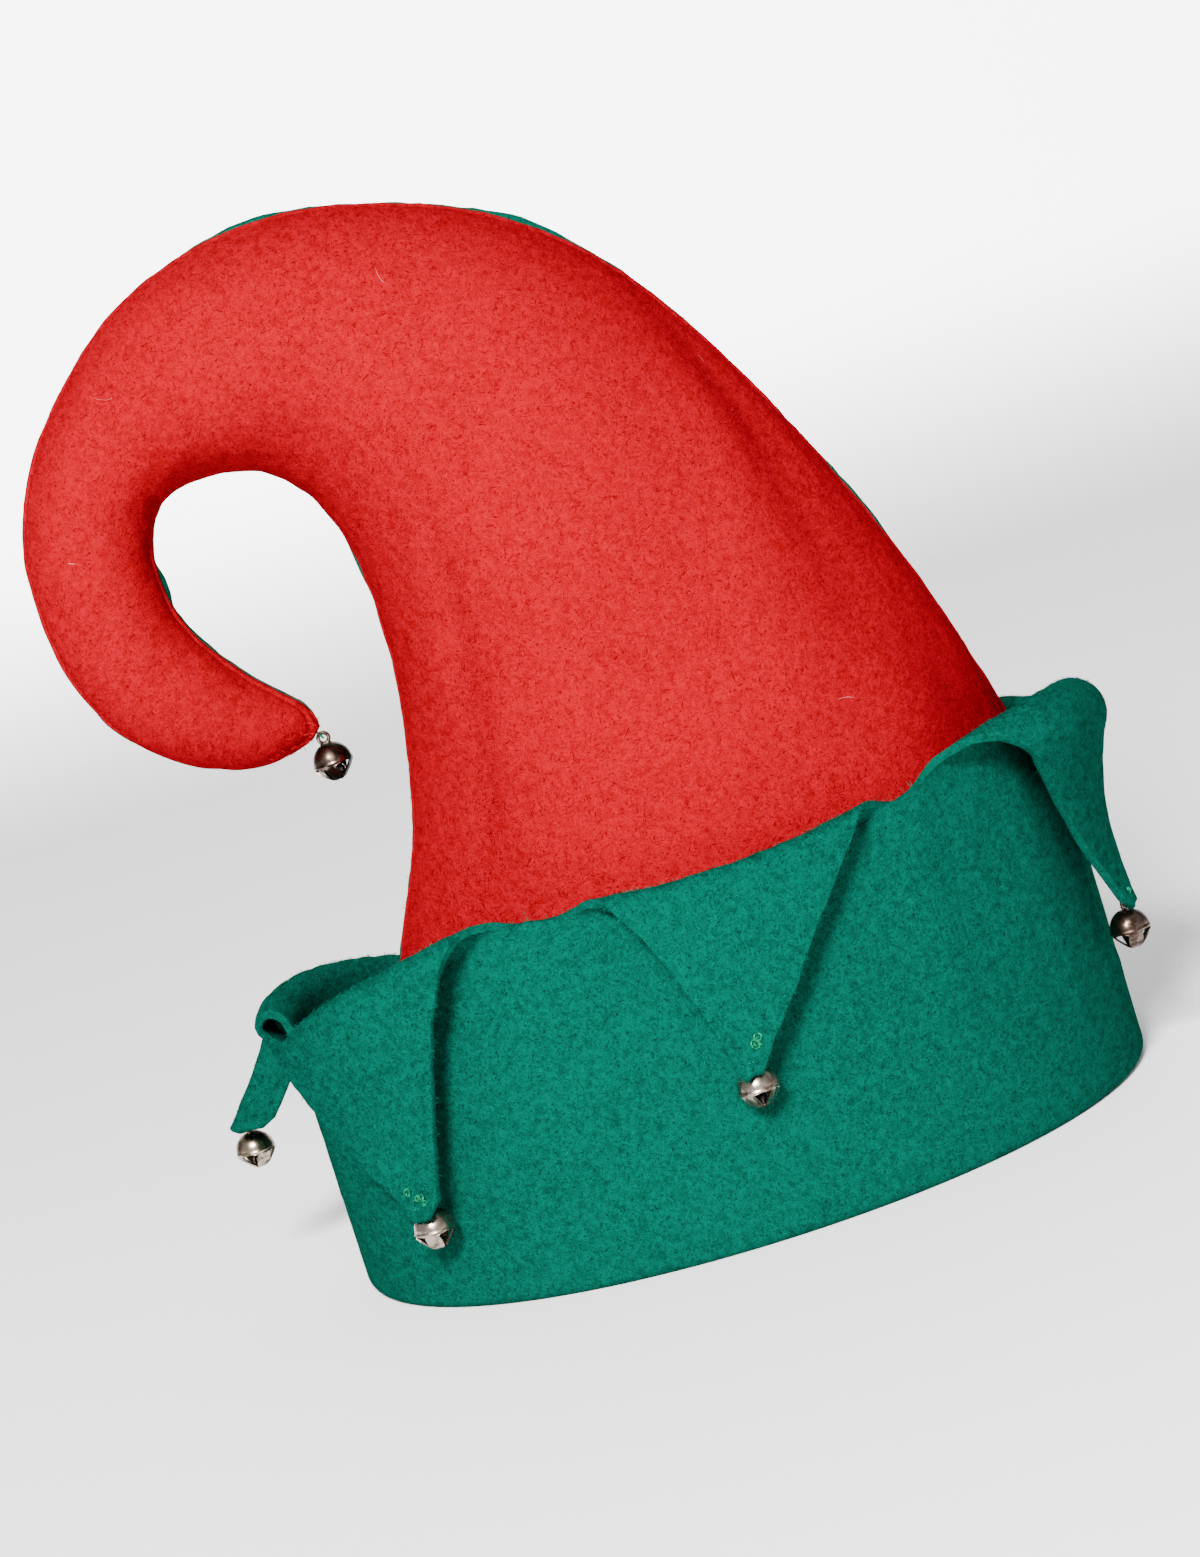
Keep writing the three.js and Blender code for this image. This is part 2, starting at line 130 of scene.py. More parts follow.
# One mesh from points in millimetres and four-cornered faces: equal points are joined, a face that has
# lost a corner becomes a triangle, and one that has lost two goes.
def meshPiece(name, points, faces, material, sharp=None, shift=True):
    points = np.asarray(points, float).reshape(-1, 3)
    keys, inverse = np.unique(np.round(points * 1e4).astype(np.int64), axis=0, return_inverse=True)
    faces = inverse.reshape(-1)[np.asarray(faces, int)]
    same = faces == np.roll(faces, -1, axis=1)
    across = (faces[:, 0] == faces[:, 2]) | (faces[:, 1] == faces[:, 3])
    whole = faces[(same.sum(1) == 0) & ~across]
    short = faces[(same.sum(1) == 1) & ~across]
    dropped = same[(same.sum(1) == 1) & ~across]
    triangles = short[~dropped].reshape(-1, 3)
    places = (keys / 1e4 + (hatShift if shift else 0)) / 1000
    mesh = bpy.data.meshes.new(name)
    mesh.from_pydata(places.tolist(), [], whole.tolist() + triangles.tolist())
    mesh.validate()
    shell = bmesh.new()
    shell.from_mesh(mesh)
    bmesh.ops.recalc_face_normals(shell, faces=shell.faces)
    shell.to_mesh(mesh)
    shell.free()
    piece = placePiece(name, mesh, material)
    if sharp:
        mesh.set_sharp_from_angle(angle=math.radians(sharp))
    return piece


# A mesh straight from arrays of points in millimetres and four-cornered faces, with nothing joined and no
# point below overFloor.
def plainPiece(name, points, faces, material, slot):
    places = points + hatShift
    places[:, 2] = np.maximum(places[:, 2], overFloor)
    mesh = bpy.data.meshes.new(name)
    mesh.vertices.add(len(places))
    mesh.vertices.foreach_set("co", (places / 1000).astype(np.float32).ravel())
    mesh.loops.add(faces.size)
    mesh.loops.foreach_set("vertex_index", faces.astype(np.int32).ravel())
    mesh.polygons.add(len(faces))
    mesh.polygons.foreach_set("loop_start", np.arange(0, faces.size, 4, dtype=np.int32))
    mesh.update(calc_edges=True)
    return placePiece(name, mesh, material)


def unit(vectors):
    return vectors / np.maximum(np.linalg.norm(vectors, axis=-1, keepdims=True), 1e-9)


# Smooth wandering values over places in millimetres: the mean of random waves about one size long.
def wander(places, size, seed, waves=14):
    own = np.random.default_rng(seed)
    ways = unit(own.normal(size=(waves, 3))) * (2 * np.pi / size) * own.uniform(0.6, 1.5, (waves, 1))
    total = sum(np.sin(places @ way + shift) for way, shift in zip(ways, own.uniform(0, 2 * np.pi, waves)))
    return total / math.sqrt(waves / 2)


def quads(*corners):
    return np.stack(corners, -1).reshape(-1, 4)


# A felt shell as rings: at each station the outer face's points, a rounded edge, the inner face's points
# back, and a rounded edge again. middle and outward are [stations, across, 3], and the edges are half
# ellipses that stand out by edgePush past the middle of the felt.
def feltRings(middle, outward, half):
    bend = np.radians([45.0, 90.0, 135.0])[None, :, None]

    def edge(end, before, out):
        way = middle[:, end] - middle[:, before]
        way /= np.maximum(np.linalg.norm(way, axis=-1, keepdims=True), 1e-9)
        push = felt["edgePush"] * np.sin(bend) * way[:, None]
        return middle[:, end, None] + half * np.cos(bend) * out[:, None] + push

    outer = middle + half * outward
    inner = (middle - half * outward)[:, ::-1]
    lastEdge = edge(-1, -2, outward[:, -1])
    firstEdge = edge(0, 1, -outward[:, 0])
    return np.concatenate([outer, lastEdge, inner, firstEdge], axis=1)


# Faces between neighbouring rings, and across both ends where the shell isn't joined to another. fillFrom
# is the first row whose ends are closed, and each end has its own.
def ringFaces(stations, across, fillFrom=(0, 0), offset=0):
    size = 2 * across + 6
    i, j = np.meshgrid(np.arange(stations - 1), np.arange(size), indexing="ij")
    k = (j + 1) % size
    faces = [quads(i * size + j, i * size + k, (i + 1) * size + k, (i + 1) * size + j)]
    for station, first in ((0, fillFrom[0]), (stations - 1, fillFrom[1])):
        base = station * size
        outer = np.arange(first, across - 1)
        inner = 2 * across + 2 - outer
        faces.append(base + quads(outer, outer + 1, inner - 1, inner))
        edge = across + np.arange(3)
        faces.append(base + np.array([[across - 1, edge[0], edge[2], across + 3],
                                      [edge[0], edge[1], edge[1], edge[2]]]))
        if first == 0:
            start = 2 * across + 3
            faces.append(base + np.array([[start, start + 1, start + 1, start + 2],
                                          [start - 1, start, start + 2, 0]]))
    return offset + np.concatenate(faces)


# Materials

# A node's inputs: another node's output is linked, a plain value is written in, and a colour comes as three
# numbers.
def setInputs(material, node, settings):
    for key, value in settings.items():
        socket = node.inputs[key]
        if isinstance(value, bpy.types.NodeSocket):
            material.node_tree.links.new(value, socket)
        else:
            socket.default_value = (*value, 1.0) if socket.type == "RGBA" else value


def addNode(material, kind, settings):
    node = material.node_tree.nodes.new(kind)
    setInputs(material, node, settings)
    return node


def newMaterial(name):
    material = bpy.data.materials.new(name)
    material.use_nodes = True
    material.node_tree.nodes.clear()
    shader = addNode(material, "ShaderNodeBsdfPrincipled", {})
    addNode(material, "ShaderNodeOutputMaterial", {"Surface": shader.outputs["BSDF"]})
    return material, shader


def objectPlace(material):
    return addNode(material, "ShaderNodeTexCoord", {}).outputs["Object"]


# A colour ramp over stops of a place and a colour.
def addRamp(material, value, stops):
    node = addNode(material, "ShaderNodeValToRGB", {"Fac": value})
    elements = node.color_ramp.elements
    for element, (place, colour) in zip((elements[0], elements[1]), (stops[0], stops[-1])):
        element.position, element.color = place, (*colour, 1)
    for place, colour in stops[1:-1]:
        elements.new(place).color = (*colour, 1)
    return node.outputs["Color"]


# Felt: thin strokes along the middle value of stretched noise, light ones and dark ones in turned directions,
# each broken up by a coarser noise, with small pits between them: dips in the bump, darkened with painted
# shade. The light strokes and the pits are the bump as well.
feltLooks = {
    "red": {"plain": (0.225, 0.0, 0.0042), "dark": (0.090, 0.0, 0.0012), "light": (0.325, 0.0006, 0.0090)},
    "green": {"plain": (0.0, 0.047, 0.0300), "dark": (0.0, 0.011, 0.0075), "light": (0.0006, 0.084, 0.057)},
    "strokeScale": 1250.0, "stretch": 0.30, "strokeWide": 0.10, "strokeNarrow": 0.01,
    "maskScale": 520.0, "maskRange": (0.42, 0.56), "pitScale": 1500.0, "pitRange": (0.64, 0.72),
    "cloudScale": 34.0, "cloudRange": (0.38, 0.60), "cloudShare": 0.15,
    # The pits' share sets both how deep they dip the bump and how far painted shade darkens them.
    "lightShare": 0.50, "darkShare": 0.42, "pitDepthAndShade": 0.75,
    "bump": 0.45, "bumpHeight": 0.0002, "roughness": 0.95,
    "lightTurns": [(0.3, 0.2, 0.5), (1.5, 0.6, 2.1), (0.8, 1.9, 1.2)],
    "darkTurns": [(2.2, 0.4, 2.9), (0.5, 2.7, 1.7)],
}


def feltMaterial(name, shades):
    material, shader = newMaterial(name)
    where = objectPlace(material)
    look = feltLooks

    def noise(scale, detail, distortion, place=where):
        settings = {"Scale": scale, "Detail": detail, "Distortion": distortion, "Vector": place}
        return addNode(material, "ShaderNodeTexNoise", settings).outputs["Fac"]

    def ramp(value, low, high, top=1.0):
        settings = {"From Min": low, "From Max": high, "To Max": top, "Value": value}
        return addNode(material, "ShaderNodeMapRange", settings).outputs["Result"]

    def combine(operation, first, second=0.5):
        node = addNode(material, "ShaderNodeMath", {0: first, 1: second})
        node.operation = operation
        return node.outputs[0]

    def mix(share, first, second):
        node = addNode(material, "ShaderNodeMix", {})
        node.data_type = "RGBA"
        setInputs(material, node, {0: share, 6: first, 7: second})
        return node.outputs[2]

    def strokes(turn, share):
        settings = {"Rotation": turn, "Scale": (1.0, look["stretch"], 1.0), "Vector": where}
        place = addNode(material, "ShaderNodeMapping", settings).outputs["Vector"]
        apart = combine("ABSOLUTE", combine("SUBTRACT", noise(look["strokeScale"], 1.0, 0.5, place), 0.5))
        line = ramp(apart, look["strokeWide"], look["strokeNarrow"], share)
        return combine("MULTIPLY", line, ramp(noise(look["maskScale"], 1.0, 0.0, place), *look["maskRange"]))

    cloud = look["cloudShare"]
    soft = tuple((1 - cloud) * a + cloud * b for a, b in zip(shades["plain"], shades["dark"]))
    colour = mix(ramp(noise(look["cloudScale"], 2.0, 0.3), *look["cloudRange"]), soft, shades["plain"])
    for turn in look["darkTurns"]:
        colour = mix(strokes(turn, look["darkShare"]), colour, shades["dark"])
    height = 0.0
    for turn in look["lightTurns"]:
        line = strokes(turn, look["lightShare"])
        colour = mix(line, colour, shades["light"])
        height = combine("ADD", line, height)
    # Pits: real dips in the bump, with painted shade in them that pulls the colour towards the dark shade.
    pit = ramp(noise(look["pitScale"], 1.0, 0.3), *look["pitRange"], look["pitDepthAndShade"])
    bump = addNode(material, "ShaderNodeBump", {"Strength": look["bump"], "Distance": look["bumpHeight"],
                                                "Height": combine("SUBTRACT", height, pit)})
    # The base colour carries the painted shade of the pits.
    setInputs(material, shader, {"Base Color": mix(pit, colour, shades["dark"]), "Normal": bump.outputs["Normal"],
                                 "Roughness": look["roughness"], "Specular IOR Level": 0.0})
    return material


redFelt = feltMaterial("redFelt", feltLooks["red"])
greenFelt = feltMaterial("greenFelt", feltLooks["green"])

# Loose fibres and thread: a plain shade that wanders between two, the noise's scale, and the shine.
threadLooks = {
    "redFibre": ((0.16, 0.0, 0.0025), (0.31, 0.0008, 0.0090), 700.0, 0.0),
    "greenFibre": ((0.0, 0.024, 0.0160), (0.0008, 0.090, 0.061), 700.0, 0.0),
    "paleFibre": ((0.36, 0.04, 0.05), (0.55, 0.26, 0.24), 500.0, 0.0),
    "greenThread": ((0.0, 0.060, 0.026), (0.0010, 0.190, 0.085), 1500.0, 0.05),
    "redThread": ((0.28, 0.0005, 0.004), (0.46, 0.006, 0.012), 1500.0, 0.1),
}
threadSurface = {"low": 0.38, "high": 0.62, "roughness": 0.7}


def threadMaterial(name, first, second, scale, shine):
    material, shader = newMaterial(name)
    noise = addNode(material, "ShaderNodeTexNoise", {"Scale": scale, "Vector": objectPlace(material)})
    tone = addRamp(material, noise.outputs["Fac"], [(threadSurface["low"], first), (threadSurface["high"], second)])
    setInputs(material, shader, {"Base Color": tone, "Roughness": threadSurface["roughness"],
                                 "Specular IOR Level": shine})
    return material


redFibre, greenFibre, paleFibre, greenThread, redThread = (
    threadMaterial(name, *look) for name, look in threadLooks.items())

# Bell metal: worn plating with pits and stains. Each look has a dark, a dull and a bright shade and how far
# the wear moves them.
metalLooks = {
    "pewter": ((0.030, 0.020, 0.015), (0.19, 0.145, 0.115), (0.43, 0.355, 0.30), 0.03),
    "brass": ((0.022, 0.014, 0.010), (0.17, 0.125, 0.085), (0.42, 0.35, 0.26), 0.05),
    "brown": ((0.012, 0.007, 0.005), (0.060, 0.038, 0.028), (0.20, 0.145, 0.115), 0.07),
    "shot": ((0.015, 0.012, 0.010), (0.06, 0.05, 0.045), (0.16, 0.14, 0.12), 0.05),
}
metalSurface = {
    "stain": {"Scale": 430.0, "Detail": 6.0, "Distortion": 0.7}, "pit": {"Scale": 2300.0, "Detail": 3.0},
    "stops": (0.26, 0.40, 0.58), "bump": {"Strength": 0.2, "Distance": 0.00012},
    "rough": {"From Min": 0.3, "From Max": 0.7, "To Min": 0.42, "To Max": 0.16},
}


def bellMaterial(name, dark, dull, bright, wear):
    material, shader = newMaterial(name)
    surface, where = metalSurface, objectPlace(material)
    stain, pit = (addNode(material, "ShaderNodeTexNoise", {**surface[kind], "Vector": where}).outputs["Fac"]
                  for kind in ("stain", "pit"))
    stops = [(stop + wear, shade) for stop, shade in zip(surface["stops"], (dark, dull, bright))]
    rough = addNode(material, "ShaderNodeMapRange", {**surface["rough"], "Value": stain})
    bump = addNode(material, "ShaderNodeBump", {**surface["bump"], "Height": pit})
    setInputs(material, shader, {"Base Color": addRamp(material, stain, stops), "Roughness": rough.outputs["Result"],
                                 "Normal": bump.outputs["Normal"], "Metallic": 1.0})
    return material


metals = {name: bellMaterial(name + "Plate", *look) for name, look in metalLooks.items()}
print("materials ready")


# Crown: a tube round a bent centre line, cut in two panels by the plane y = 0. The columns are x of the
# centre line as a share of reach, z from footTop to bend, width and depth as shares of the foot's, and
# how far the section is tipped over to the left.
crown = {"reach": 110.0, "bend": 226.0, "footTop": 10.3, "lift": 3.3, "width": 192.98, "depth": 178.68,
         "squareness": 0.01, "stations": 260, "across": 100, "crowding": 0.8}
crownTable = np.array([
    (0.0, 0.0, 1.0, 1.0, 0), (0.031, 0.082, 0.961, 0.972, 0.5), (0.067, 0.17, 0.912, 0.933, 1),
    (0.096, 0.258, 0.858, 0.894, 1.8), (0.115, 0.344, 0.801, 0.849, 2.6), (0.123, 0.434, 0.733, 0.796, 4.9),
    (0.115, 0.509, 0.684, 0.749, 7), (0.095, 0.583, 0.636, 0.704, 10), (0.057, 0.671, 0.582, 0.654, 15.5),
    (-0.001, 0.764, 0.531, 0.598, 23), (-0.083, 0.849, 0.486, 0.542, 34.6), (-0.197, 0.918, 0.431, 0.48, 47.2),
    (-0.325, 0.965, 0.37, 0.419, 58.4), (-0.462, 0.994, 0.32, 0.369, 69), (-0.598, 0.998, 0.281, 0.33, 81),
    (-0.738, 0.982, 0.237, 0.291, 95.5), (-0.853, 0.947, 0.188, 0.243, 116), (-0.94, 0.899, 0.165, 0.212, 141),
    (-0.99, 0.84, 0.161, 0.201, 161), (-0.999, 0.781, 0.156, 0.196, 176), (-0.985, 0.727, 0.156, 0.193, 191),
    (-0.945, 0.678, 0.155, 0.19, 204), (-0.89, 0.641, 0.146, 0.179, 212), (-0.827, 0.611, 0.131, 0.159, 217),
    (-0.757, 0.588, 0.110, 0.129, 221), (-0.695, 0.5755, 0.079, 0.090, 225), (-0.640, 0.5674, 0.021, 0.023, 226),
])

# Hollows (above 0) and rises of the felt in millimetres: along the crown, degrees round from the outer
# seam over the front, depth, and how far each reaches both ways.
frontDents = np.array([
    (0.16, 148, 2.0, 0.09, 16), (0.20, 118, -1.4, 0.12, 18), (0.20, 24, 1.8, 0.12, 13),
    (0.48, 140, 2.2, 0.04, 26), (0.57, 160, 1.6, 0.03, 24), (0.64, 165, 1.2, 0.012, 26),
    (0.69, 168, 1.0, 0.012, 30), (0.74, 60, 0.9, 0.02, 25), (0.80, 120, 0.8, 0.02, 30),
    (0.43, 60, -0.8, 0.06, 30), (0.90, 40, 0.7, 0.03, 30),
])
backDents = np.array([
    (0.18, 60, 1.6, 0.10, 22), (0.30, 120, 1.4, 0.08, 24), (0.44, 80, -1.0, 0.06, 30),
    (0.62, 160, 1.2, 0.02, 28), (0.70, 165, 1.0, 0.015, 28),
])
# Long soft creases of the front: places along the crown and round it, depth, and reach in degrees.
frontCreases = [
    {"line": [(0.42, 115), (0.379, 122), (0.337, 130), (0.295, 135), (0.246, 136.5), (0.192, 138), (0.14, 138)],
     "depth": 2.2, "reach": 5.5},
    {"line": [(0.40, 8), (0.371, 10), (0.341, 20), (0.315, 27), (0.291, 34), (0.257, 40), (0.222, 43), (0.18, 40)],
     "depth": 3.0, "reach": 10.0},
    {"line": [(0.371, 24), (0.341, 38), (0.315, 47), (0.291, 57), (0.257, 64), (0.222, 66), (0.18, 64)],
     "depth": -0.9, "reach": 7.0},
]
seam = {"valley": 0.7, "valleyWidth": 0.8, "strip": 3.6, "stripRise": 0.4, "groove": 0.4, "grooveWidth": 0.55}
# Places where the back panel stands out past the front one, so that a sliver of it shows: along the crown,
# degrees round, rise in millimetres and reach along.
slivers = [(0.411, 0, 1.5, 0.016), (0.515, 0, 1.1, 0.022), (0.733, 180, 1.3, 0.02), (0.39, 180, 1.1, 0.02),
           (0.818, 0, 0.9, 0.02), (0.27, 0, 0.9, 0.02)]
endFade = 0.3
lumps = {"broad": 0.45, "broadSize": 46.0, "fine": 0.10, "fineSize": 7.0}


def dentDepth(dents, along, around):
    depth = np.zeros(np.broadcast(along, around).shape)
    for place, turn, deep, length, spread in dents:
        depth += deep * np.exp(-((along - place) / length) ** 2 - ((around - turn) / spread) ** 2)
    return depth


# A crease follows its line: its depth falls off to both sides and over endFade of the line at either end.
def creaseDepth(creases, along, around):
    depth = np.zeros(np.broadcast(along, around).shape)
    for crease in creases:
        line = np.array(sorted(crease["line"]))
        centre = np.interp(along, line[:, 0], line[:, 1])
        share = (along - line[0, 0]) / (line[-1, 0] - line[0, 0])
        fade = smoothStep(share / endFade) * smoothStep((1 - share) / endFade)
        depth += crease["depth"] * fade * np.exp(-((around - centre) / crease["reach"]) ** 2)
    return depth


# Degrees round the panel of its columns, which crowd together at both seams.
def crownTurns():
    share = np.linspace(0, 1, crown["across"])
    return 180 * (share - crown["crowding"] * np.sin(2 * np.pi * share) / (2 * np.pi))


# The panel's felt: an ellipse across the tipped section, pushed in by dents and creases, by the seam's
# narrow valley and by the groove beside the pressed seam allowance, and out over that allowance.
def crownSurface(side, dents, creases, seed):
    stations = crown["stations"]
    along = np.concatenate([[0.0], np.linspace(0, 1, stations)])[:, None]
    around = crownTurns()[None, :]
    row = splineRows(crownTable, along[:, 0])
    turn = np.radians(row[:, 4])
    halfWidth = np.maximum(row[:, 2] * crown["width"] / 2 - halfFelt, halfFelt)[:, None]
    halfDepth = np.maximum(row[:, 3] * crown["depth"] / 2 - halfFelt, halfFelt)[:, None]
    angle = np.radians(around)
    corner = 1 + crown["squareness"] * np.sin(2 * angle) ** 2
    sideways = corner * halfWidth * np.cos(angle)
    facing = corner * halfDepth * np.sin(angle) + felt["clearance"] / 2
    outX, outY = np.cos(angle) / halfWidth, np.sin(angle) / halfDepth
    size = np.hypot(outX, outY)
    outX, outY = outX / size, outY / size
    centreX, centreZ = row[:, 0] * crown["reach"], crown["footTop"] + (crown["bend"] - crown["footTop"]) * row[:, 1]
    centreZ = np.where(np.arange(stations + 1) == 0, crown["lift"], centreZ)
    cos, sin = np.cos(turn)[:, None], np.sin(turn)[:, None]
    middle = np.stack([centreX[:, None] + cos * sideways, side * facing, centreZ[:, None] + sin * sideways], -1)
    outward = np.stack([cos * outX, side * outY, sin * outX], -1)

    ease = smoothStep((along - 0.02) / 0.06)
    clear = smoothStep((along - 0.10) / 0.08)  # broad lumps start above the cuff
    distance = halfDepth * np.minimum(angle, np.pi - angle)
    small = np.minimum(1.0, halfDepth / 20.0)
    push = (dentDepth(dents, along, around) + creaseDepth(creases, along, around)) * np.sin(angle) ** 0.5 * ease
    push = push + clear * np.sin(angle) * small * lumps["broad"] * wander(middle, lumps["broadSize"], seed)
    push = push + ease * small * lumps["fine"] * wander(middle, lumps["fineSize"], seed + 1)
    push = push + ease * seam["valley"] * np.exp(-distance / seam["valleyWidth"])
    push = push - ease * seam["stripRise"] * smoothStep((seam["strip"] - distance) / 0.8)
    push = push + ease * seam["groove"] * np.exp(-((distance - seam["strip"] - 0.3) / seam["grooveWidth"]) ** 2)
    if side > 0:
        for place, turned, rise, reach in slivers:
            near = halfDepth * np.abs(angle - math.radians(turned))
            push = push - rise * np.exp(-((along - place) / reach) ** 2) * np.exp(-(near / 3.5) ** 2)
    return middle - push[..., None] * outward, outward


def crownPanel(name, surface, material, node):
    middle, outward = surface
    piece = meshPiece(name, feltRings(middle, outward, halfFelt),
                      ringFaces(middle.shape[0], middle.shape[1]), material)
    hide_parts(node)


frontSurface = crownSurface(-1, frontDents, frontCreases, 71)
backSurface = crownSurface(1, backDents, [], 83)
crownPanel("crownFront", frontSurface, redFelt, "crown_front_panel")
crownPanel("crownBack", backSurface, greenFelt, "crown_back_panel")
print("crown panels made")


# Cuff: a strip that runs up inside the rim, under it and up outside, and ends in six points that roll
# over and hang. Angles run from the front towards the right.
cuff = {"rimWidth": 198.0, "rimDepth": 184.0, "height": 88.0, "lean": 5.5, "lip": 8.0, "lipInset": 5.43,
        "corner": 1.3, "pointLength": 60.0, "fold": 3.0, "columns": 61, "lowRows": 20, "highRows": 10,
        "rollRows": 14, "hangRows": 30, "cutBelow": 1.5, "crowding": 0.12}
# How the cut edges waver: share of the length, and waves over half a point, in radians.
waver = {"broad": 0.012, "broadWaves": 23, "fine": 0.007, "fineWaves": 61}
# Angles of its middle and of the cut to its right; heights there, roll and lengths as shares of the cuff's;
# then how it hangs, as in the part's source. The cuts, the curl and the blunt ends shape its cut edges.
pointColumns = ("at", "cut", "ridge", "valley", "roll", "length", "out", "tuck", "flare", "over", "sway",
                "leftCut", "rightCut", "curl", "leftBlunt", "rightBlunt")
points = [dict(zip(pointColumns, row)) for row in (
    (-110, -78, 0.818, 0.68, 1.5, 0.752, 0.31, 0.02, 0, -0.4, 3, 1, 3.5, 0.2, 0.03, 0.22),
    (-50, -21, 0.92, 0.985, 2, 1.11, 0, 0, 0, 0.3, 4, 1.25, 1.8, 0, 0.04, 0.11),
    (6.5, 34.5, 0.985, 0.985, 1.2, 0.868, 0, 0, 0, 0.3, -4, 2.5, 1.45, 0, 0.06, 0.06),
    (64, 94, 1.085, 0.92, 2.6, 1.2, 0.065, 0.1, 1, -0.1, 7, 2.2, 1, 0, 0.06, 0.06),
    (124, 154, 0.96, 0.9, 1.5, 0.95, 0.04, 0, 0.3, 0.3, -3, 1.15, 1.15, 0, 0.06, 0.06),
    (186, 218, 0.84, 0.63, 1.3, 0.92, 0.03, 0, 0.2, 0.3, 3, 1.15, 1.15, 0, 0.06, 0.06),
)]
# Soft ridges of the wall: from an angle and a height to another, rise in millimetres and reach.
wallRidges = [
    ((-19, 86), (-7, 76), 1.0, 2.6), ((-20, 82), (-13, 66), 0.8, 2.4), ((-24, 80), (-27, 60), 0.5, 2.4),
    ((35, 84), (33, 30), 1.3, 6.0), ((30, 84), (24, 66), 0.7, 2.6), ((38, 84), (45, 70), 0.9, 3.0),
    ((58, 80), (56, 20), 1.0, 8.0), ((-42, 60), (-36, 12), 0.9, 8.0), ((0, 40), (8, 8), 0.7, 10.0),
    ((-76, 50), (-72, 15), 0.6, 8.0), ((95, 76), (92, 30), 0.9, 5.0), ((154, 74), (150, 30), 0.8, 5.0),
]
arcPerDegree = 1.66  # millimetres of the rim for a degree, on average
bell = {"radius": 5.0, "room": 0.45, "loopRadius": 1.3, "wire": 0.8, "wall": 0.5, "pelletRadius": 1.5}
loopRise = bell["radius"] + bell["loopRadius"] - bell["wire"] / 2
loopBehind = halfFelt + bell["room"] + bell["wire"]
standOff = halfFelt + bell["room"] + bell["radius"] + loopBehind


def tipRise(over):
    return bell["radius"] * (1 - over) + bell["room"]


def rimPlace(angle):
    wide = 1 + crown["squareness"] * np.sin(2 * angle) ** 2
    x, y = wide * cuff["rimWidth"] / 2 * np.sin(angle), -wide * cuff["rimDepth"] / 2 * np.cos(angle)
    return np.stack([x, y, np.zeros_like(x)], -1)


def rimOutward(angle):
    x, y = np.sin(angle) / cuff["rimWidth"], -np.cos(angle) / cuff["rimDepth"]
    size = np.hypot(x, y)
    return np.stack([x / size, y / size, np.zeros_like(x)], -1)


def wallOut(angle, z):
    leaning = np.maximum(0, z - crown["footTop"]) / (cuff["height"] - crown["footTop"])
    return -halfFelt - cuff["lean"] * np.cos(angle) ** 2 * leaning


# The wall's own rises: each ridge falls off with the distance from its line, and all fade at the rim.
def wallRise(angle, z):
    arc, rise = np.degrees(angle) * arcPerDegree, np.zeros(np.broadcast(angle, z).shape)
    for (a0, z0), (a1, z1), height, reach in wallRidges:
        x0, x1 = a0 * arcPerDegree, a1 * arcPerDegree
        span = (x1 - x0) ** 2 + (z1 - z0) ** 2
        share = np.clip(((arc - x0) * (x1 - x0) + (z - z0) * (z1 - z0)) / span, 0, 1)
        apart = np.hypot(arc - x0 - share * (x1 - x0), z - z0 - share * (z1 - z0))
        rise += height * (1 - 0.75 * share) * np.exp(-(apart / reach) ** 2)
    return rise * smoothStep((z - 6) / 14)


def pointSpans(index):
    before, here = points[index - 1], points[index]
    return (here["at"] - before["cut"] + 360) % 360, here["cut"] - here["at"]


def pointTops(index):
    before, here = points[index - 1], points[index]
    middleTop = here["ridge"] * cuff["height"] - cuff["fold"] * here["roll"] - halfFelt
    return before["valley"] * cuff["height"], middleTop, here["valley"] * cuff["height"]


# How a point hangs: the run from its roll to its bell's loop, as in the solids.
def pointHang(index):
    here = points[index]
    angle, roll = math.radians(here["at"]), cuff["fold"] * here["roll"]
    top = pointTops(index)[1]
    run = here["length"] * cuff["pointLength"] - math.pi * roll - (loopRise - tipRise(here["over"]))
    gain = float(wallOut(angle, top - run) - wallOut(angle, top))
    need = standOff + halfFelt + gain + here["out"] * cuff["pointLength"] - 2 * roll
    tuck = 4 * here["tuck"] * cuff["pointLength"]
    return run, need, tuck, run / math.hypot(run, need), math.atan((need * (1 - here["flare"]) - tuck) / run)


